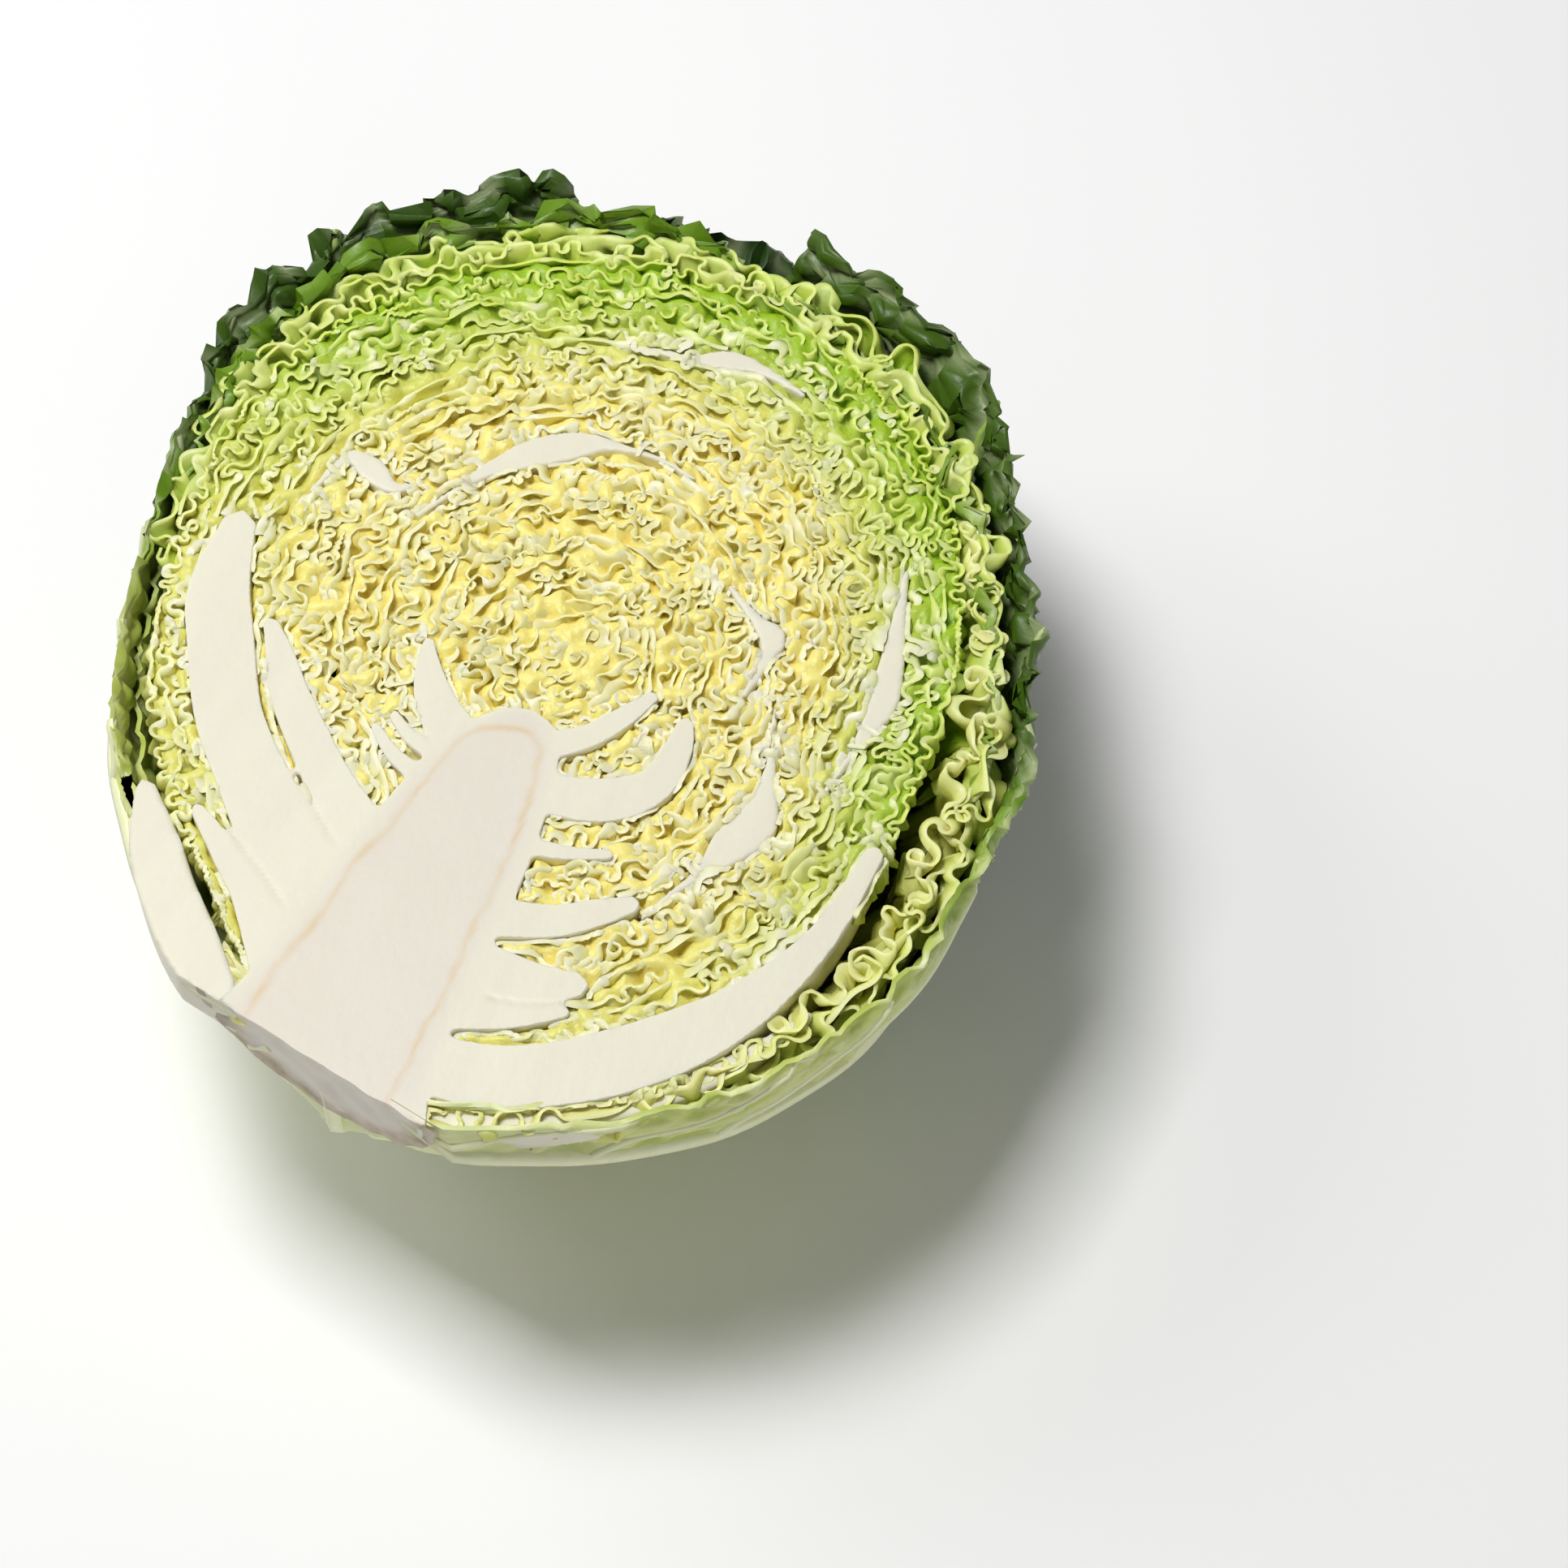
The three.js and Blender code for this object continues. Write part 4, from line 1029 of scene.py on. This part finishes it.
def vein_paths(shape):
    """Midrib and side veins of a wrapper leaf: lines of over and turn angles, with radii in mm."""
    rng = np.random.default_rng(shape["seed"] + 100)
    first, length = math.radians(LEAF_FOOT), math.radians(shape["reach"] - LEAF_FOOT)
    share = np.linspace(0, 1, 70)
    paths = [(first + length * (0.02 + 0.93 * share), 0 * share, 1.9 * (1 - share)**0.7 + 0.35)]
    for side in (-1, 1):
        start = 0.07 + 0.03 * side
        while start < 0.82:
            s = np.linspace(0, 1, 36)
            along = start + rng.uniform(0.18, 0.28) * s**1.4 + 0.012 * np.sin(9 * s + rng.uniform(0, 6)) * s
            over = first + length * along
            turn = side * rng.uniform(0.8, 0.93) * s * math.radians(shape["spread"]) * leaf_width(along)
            low, high = leaf_limits(shape, over)
            inside = (turn > low) & (turn < high) & (along < 0.97)
            count = int(np.argmin(inside[1:])) + 1 if not inside[1:].all() else len(s)
            if count > 6:
                radius = 0.95 * (1 - s)**0.8 + 0.22
                paths.append((over[:count], turn[:count], radius[:count]))
            start += rng.uniform(0.085, 0.12)
    return paths


def leaf_surface(shape, over, turn, thickness, settings):
    """Points of a wrapper leaf's inner (0) or outer (1) face, with tones and outward directions."""
    seed = shape["seed"]
    points, loose = leaf_form(shape, over, turn)
    ahead = leaf_form(shape, over + 2e-3, turn)[0] - points
    aside = leaf_form(shape, over, turn + 2e-3)[0] - points
    outward = np.cross(ahead, aside)
    outward /= np.linalg.norm(outward, axis=-1, keepdims=True) + 1e-12
    outward *= np.sign(((points - [0, 0, CUT_Z]) * outward).sum(-1, keepdims=True))
    a, b = WRAPPER_TURN * over, WRAPPER_TURN * turn
    warp = 2.2 * waves(a, b, seed + 50, (30, 19))
    cells = blisters(a + warp, b - warp, seed, settings.blister_size)
    fine = blisters(a * 1.9 + warp, b * 1.9, seed + 7, settings.blister_size)
    flat = np.stack([a.ravel(), b.ravel()], -1)
    vein_far = np.full(len(flat), 99.0)
    for path_over, path_turn, radius in vein_paths(shape):
        line = WRAPPER_TURN * np.stack([path_over, path_turn], -1)[::3]
        vein_far = np.minimum(vein_far, line_distance(flat, line))
    vein_far = vein_far.reshape(a.shape)
    beside = smoothstep(vein_far, 0.6, 3.2)
    foot = smoothstep(points[..., 2], 1, 9)
    along = (np.degrees(over) - LEAF_FOOT) / (shape["reach"] - LEAF_FOOT)
    height = settings.blister_height * (0.7 + 0.3 * smoothstep(along, 0.1, 0.5))
    height = height * (1 + 0.8 * np.clip(loose, 0, 1))
    butt = BUTT_Y + 1.2 + BUTT_SLOPE * points[..., 0]
    from_butt = points[..., 1] - butt
    small = 0.15 + 0.3 * np.clip(loose, 0, 1)
    relief = -height * (0.9 * cells + small * fine) * foot * beside * smoothstep(from_butt, 0, 14)
    midrib = 2.4 * np.exp(-(b / (2.0 + 3.0 * (1 - along)))**2) * (1 - 0.85 * along) * foot
    points = points + outward * (relief + thickness * (settings.wrapper_thickness + midrib))[..., None]
    sawn = smoothstep(butt - points[..., 1], -2.5, 0)
    points[..., 1] = np.maximum(points[..., 1], butt)
    points[..., 2] = np.clip(points[..., 2], 0 if thickness > 0 else 0.6, CUT_Z + 1.6)
    rib_far = line_distance(points[..., :2].reshape(-1, 2), smooth_line(WRAPPER_RIB)[:, :2])
    under_rib = CUT_Z + 1.6 - 4.2 * smoothstep(-rib_far, -7.5, -5.5).reshape(a.shape)
    points[..., 2] = np.minimum(points[..., 2], under_rib)
    dark = smoothstep(points[..., 1] + 9 * waves(a, b, seed + 9, (60, 34)), -42, 38)
    dark = shape["dark"] * np.clip(0.04 + 0.96 * dark, 0, 1) * (1 - sawn)
    vein = np.maximum(1 - smoothstep(cells, 0.0, 0.45), 1 - smoothstep(vein_far, 0.8, 2.4))
    vein = np.maximum(vein, np.maximum(sawn, 0.9 * smoothstep(-from_butt, -30, -2)))
    # Painted shade: this tone darkens the blisters where they sink between the veins.
    hollow_shade = cells * (0.5 + 0.5 * fine) * beside * (1 - sawn)
    return points, np.stack([vein, dark, hollow_shade], -1), outward


def make_wrapper(name, settings):
    shape = WRAPPERS[name]
    over = np.radians(np.linspace(LEAF_FOOT, shape["reach"], settings.wrapper_rows))
    low, high = leaf_limits(shape, over)
    even = np.linspace(-1, 1, settings.wrapper_columns)
    across = np.sign(even) * (1 - (1 - np.abs(even))**1.35)
    turn = np.where(across < 0, -across * low[:, None], across * high[:, None])
    over = np.repeat(over[:, None], settings.wrapper_columns, 1)
    inner, inner_tones, _ = leaf_surface(shape, over, turn, 0, settings)
    outer, outer_tones, _ = leaf_surface(shape, over, turn, 1, settings)
    rows, columns = over.shape
    grid = np.arange(rows * columns).reshape(rows, columns)
    size = rows * columns
    cells = np.stack([grid[:-1, :-1], grid[1:, :-1], grid[1:, 1:], grid[:-1, 1:]], -1).reshape(-1, 4)
    rim = np.concatenate([grid[0], grid[1:, -1], grid[-1, -2::-1], grid[-2:0:-1, 0]])
    after = np.roll(rim, -1)
    walls = np.stack([rim, after, after + size, rim + size], -1)
    verts = np.concatenate([inner.reshape(-1, 3), outer.reshape(-1, 3)])
    faces = np.concatenate([cells, cells[:, ::-1] + size, walls])
    tones = np.concatenate([inner_tones.reshape(-1, 3), outer_tones.reshape(-1, 3)])
    new_piece(name + "_blade", verts, faces, materials()["savoy_wrapper"], [name], tones,
              sharp=70)


def make_wrapper_veins(name, settings):
    """A midrib and side veins on the outer face of a wrapper leaf."""
    shape = WRAPPERS[name]
    lines, radii = [], []
    for over, turn, radius in vein_paths(shape):
        points, _, outward = leaf_surface(shape, over, turn, 1, settings)
        points = points - outward * radius[:, None] * 0.4
        points[:, 2] = np.clip(points[:, 2], radius + 0.05, CUT_Z - radius - 0.1)
        lines.append(points)
        radii.append(radius)
    vein_piece(name + "_veins", lines, radii, materials()["savoy_vein"], [name], 1.0)


def make_wrapper_ribs(settings):
    """The thick midrib of the left wrapper, split by the cut, and the pale base of the right one."""
    strips = [("wrapper_left_rib", "wrapper_left", WRAPPER_RIB, 10, 0.1),
              ("wrapper_right_base", "wrapper_right", LOWER_BASE, 7, 1.8)]
    for name, node, line, depth, drop in strips:
        verts, faces = remeshed(name, [strip_solid(line, depth, CUT_Z - drop)], settings.flesh_grain, 2)
        verts[:, 1] = np.maximum(verts[:, 1], BUTT_Y + BUTT_SLOPE * verts[:, 0])
        tones = np.tile([0.0, 1.0, 0.0], (len(verts), 1))
        new_piece(name, verts, faces, materials()["savoy_flesh"], [node], tones)


# The floor, the light and the camera ----------------------------------------------------------------

def make_floor():
    mesh = bpy.data.meshes.new("floor")
    side = 20.0
    mesh.from_pydata([(-side, -side, 0), (side, -side, 0), (side, side, 0), (-side, side, 0)], [],
                     [(0, 1, 2, 3)])
    floor = bpy.data.objects.new("floor", mesh)
    bpy.context.scene.collection.objects.link(floor)
    material, tree, bsdf = shader("floor", 0.75)
    tree.nodes.active = bsdf
    colour = mixed(tree, remapped(tree, noise_of(tree, 4), 0.3, 0.7), (0.96, 0.96, 0.955), (0.97, 0.97, 0.97))
    tree.links.new(colour, bsdf.inputs["Base Color"])
    bsdf.inputs["Specular IOR Level"].default_value = 0.1
    mesh.materials.append(material)


def placed(right, up, back, place):
    rows = [[*row, p] for row, p in zip(np.stack([right, up, back], 1), place)]
    return Matrix(rows + [[0, 0, 0, 1]])


def area_light(name, place, size, power):
    """A square white lamp that faces the cabbage."""
    light = bpy.data.lights.new(name, "AREA")
    light.size = size
    light.energy = power
    holder = bpy.data.objects.new(name, light)
    target = np.array([0, 0, 0.05])
    back = np.array(place) - target
    back /= np.linalg.norm(back)
    right = np.cross([0, 0, 1], back)
    right /= np.linalg.norm(right)
    up = np.cross(back, right)
    holder.matrix_world = placed(right, up, back, place)
    bpy.context.scene.collection.objects.link(holder)


def make_camera():
    azimuth, elevation = math.radians(CAMERA_AZIMUTH), math.radians(CAMERA_ELEVATION)
    back = np.array([math.sin(azimuth) * math.cos(elevation), -math.cos(azimuth) * math.cos(elevation),
                     math.sin(elevation)])
    right = np.array([math.cos(azimuth), math.sin(azimuth), 0])
    up = np.cross(back, right)
    data = bpy.data.cameras.new("camera")
    data.lens = CAMERA_LENS
    data.sensor_width = 36
    data.clip_end = 20
    camera = bpy.data.objects.new("camera", data)
    camera.matrix_world = placed(right, up, back, np.array(CAMERA_PLACE) * MM)
    bpy.context.scene.collection.objects.link(camera)
    bpy.context.scene.camera = camera


def make_world(brightness):
    world = bpy.data.worlds.new("studio")
    world.use_nodes = True
    background = world.node_tree.nodes["Background"]
    background.inputs["Color"].default_value = (1, 1, 1, 1)
    background.inputs["Strength"].default_value = brightness
    bpy.context.scene.world = world


# Settings, operators and panel ----------------------------------------------------------------------

def colour_property(name, description, value):
    return FloatVectorProperty(name=name, description=description, default=value, subtype="COLOR",
                               min=0, max=1)


def size_property(name, description, value, low, high):
    return FloatProperty(name=name, description=description, default=value, min=low, max=high)


def count_property(name, description, value, low, high):
    return IntProperty(name=name, description=description, default=value, min=low, max=high)


def power_property(name, description, value):
    return FloatProperty(name=name, description=description, default=value, min=0, max=500, unit="POWER")


class CabbageShape(bpy.types.PropertyGroup):
    """Sizes of the leaves and their folds, in millimetres, and how fine they are."""
    leaf_count: count_property("Packed Leaves", "Leaves between the heart and the edge", 29, 8, 40)
    fold_step: size_property("Fold Step", "Spacing of points along a leaf edge, in mm", 0.58, 0.5, 2)
    crinkle_growth: size_property("Crinkle", "Length of a leaf edge over its plain length", 2.1, 1.1, 3)
    leaf_spacing: size_property("Leaf Spacing", "Room each packed leaf takes, in mm", 1.6, 1.2, 4)
    leaf_thickness: size_property("Leaf Thickness", "Thickness of a packed leaf, in mm", 0.46, 0.3, 1.5)
    flesh_grain: size_property("Flesh Grain", "Mesh size of the cut stem, in mm", 0.66, 0.4, 2)
    wrapper_thickness: size_property("Wrapper Thickness", "Thickness of a wrapper, in mm", 0.9, 0.6, 2)
    wrapper_rows: count_property("Wrapper Rows", "Points along a wrapper leaf", 146, 20, 260)
    wrapper_columns: count_property("Wrapper Columns", "Points across a wrapper leaf", 100, 20, 200)
    blister_size: size_property("Blister Size", "Width of a leaf blister, in mm", 7.5, 3, 15)
    blister_height: size_property("Blister Height", "Height of a leaf blister, in mm", 2.2, 0, 4)
    seed: IntProperty(name="Seed", description="Which cabbage of its kind this is", default=3, min=0)


class CabbageLooks(bpy.types.PropertyGroup):
    """Colours of the leaves and the flesh, and the lamps."""
    leaf_yellow: colour_property("Leaf Yellow", "Face of an inner leaf", (0.93, 0.82, 0.25))
    leaf_edge: colour_property("Leaf Edge", "Cut edge of an inner leaf", (0.97, 0.90, 0.42))
    leaf_green: colour_property("Leaf Green", "Face of an outer packed leaf", (0.34, 0.53, 0.02))
    leaf_green_edge: colour_property("Green Edge", "Cut edge of an outer packed leaf", (0.68, 0.82, 0.14))
    # Painted shade: the darker yellow the leaf bed takes deep between the folds.
    leaf_shade: colour_property("Leaf Shade", "Leaf deep between folds", (0.77, 0.60, 0.11))
    flesh: colour_property("Flesh", "White ribs and thick veins", (0.79, 0.765, 0.62))
    leaf_vein: colour_property("Leaf Vein", "Thick pale veins in a packed leaf", (0.95, 0.90, 0.64))
    core: colour_property("Core", "Cut core", (0.74, 0.695, 0.60))
    core_shade: colour_property("Core Streaks", "Faint streaks in the core", (0.72, 0.65, 0.54))
    strand: colour_property("Strands", "Tan strands in the core", (0.70, 0.54, 0.32))
    butt_skin: colour_property("Butt Skin", "Browned skin of the cut stem end", (0.42, 0.30, 0.17))
    wrapper_pale: colour_property("Wrapper Pale", "Wrapper leaf near the stem", (0.70, 0.74, 0.22))
    wrapper_green: colour_property("Wrapper Green", "Wrapper leaf half way", (0.22, 0.38, 0.025))
    wrapper_dark: colour_property("Wrapper Dark", "Wrapper leaf at its tip", (0.024, 0.064, 0.010))
    wrapper_vein: colour_property("Wrapper Vein", "Raised veins of a wrapper leaf", (0.86, 0.88, 0.58))
    floor_light: size_property("Room Light", "Brightness of the white room", 0.15, 0, 3)
    front_power: power_property("Front Light", "Power of the low front lamp, in watts", 2.0)
    key_power: power_property("Key Light", "Power of the main lamp, in watts", 10.2)
    side_power: power_property("Side Light", "Power of the lamp on the left, in watts", 2.8)


class CABBAGE_OT_stage(bpy.types.Operator):
    """Makes the floor, the soft light and the camera"""
    bl_idname = "cabbage.stage"
    bl_label = "Stage"

    def execute(self, context):
        looks = context.scene.cabbage_looks
        make_camera()
        make_floor()
        make_world(looks.floor_light)
        for name, (place, size) in LAMPS.items():
            area_light(name, place, size, getattr(looks, name + "_power"))
        context.scene.view_settings.view_transform = "Standard"
        return {"FINISHED"}


class CABBAGE_OT_stem(bpy.types.Operator):
    """Makes the stem with the ribs that grow on it"""
    bl_idname = "cabbage.stem"
    bl_label = "Stem and Ribs"

    def execute(self, context):
        make_stem(context.scene.cabbage_shape)
        make_islands(context.scene.cabbage_shape)
        return {"FINISHED"}


class CABBAGE_OT_packed_leaves(bpy.types.Operator):
    """Makes the crinkled leaves of the tight head and the bowl under them"""
    bl_idname = "cabbage.packed_leaves"
    bl_label = "Packed Leaves"

    def execute(self, context):
        make_packed_leaves(context.scene.cabbage_shape)
        make_bed(context.scene.cabbage_shape)
        return {"FINISHED"}


class CABBAGE_OT_ruffled_leaf(bpy.types.Operator):
    """Makes the ruffled leaf on the right and the folded edges of the inner wrappers"""
    bl_idname = "cabbage.ruffled_leaf"
    bl_label = "Ruffled Leaves"

    def execute(self, context):
        for frill in FRILLS:
            make_frill(frill, context.scene.cabbage_shape)
        return {"FINISHED"}


class CABBAGE_OT_wrappers(bpy.types.Operator):
    """Makes the wrapper leaves with their veins"""
    bl_idname = "cabbage.wrappers"
    bl_label = "Wrapper Leaves"

    def execute(self, context):
        for name in WRAPPERS:
            make_wrapper(name, context.scene.cabbage_shape)
            make_wrapper_veins(name, context.scene.cabbage_shape)
        make_wrapper_ribs(context.scene.cabbage_shape)
        return {"FINISHED"}


OPERATORS = (CABBAGE_OT_stage, CABBAGE_OT_stem, CABBAGE_OT_packed_leaves, CABBAGE_OT_ruffled_leaf,
             CABBAGE_OT_wrappers)


class CABBAGE_PT_panel(bpy.types.Panel):
    """Lists the cabbage's pieces and settings"""
    bl_label = "Halved Savoy Cabbage"
    bl_space_type = "VIEW_3D"
    bl_region_type = "UI"
    bl_category = "Cabbage"

    def draw(self, context):
        for operator in OPERATORS:
            self.layout.operator(operator.bl_idname)
        for group in (context.scene.cabbage_shape, context.scene.cabbage_looks):
            box = self.layout.box()
            for name in group.bl_rna.properties.keys():
                if name not in ("rna_type", "name"):
                    box.prop(group, name)


CLASSES = (CabbageShape, CabbageLooks, *OPERATORS, CABBAGE_PT_panel)


def register():
    for cls in CLASSES:
        bpy.utils.register_class(cls)
    bpy.types.Scene.cabbage_shape = PointerProperty(type=CabbageShape)
    bpy.types.Scene.cabbage_looks = PointerProperty(type=CabbageLooks)


def unregister():
    del bpy.types.Scene.cabbage_looks
    del bpy.types.Scene.cabbage_shape
    for cls in reversed(CLASSES):
        bpy.utils.unregister_class(cls)


def main():
    register()
    bpy.ops.cabbage.stage()
    bpy.ops.cabbage.stem()
    bpy.ops.cabbage.packed_leaves()
    bpy.ops.cabbage.ruffled_leaf()
    bpy.ops.cabbage.wrappers()


if __name__ == "__main__":
    main()
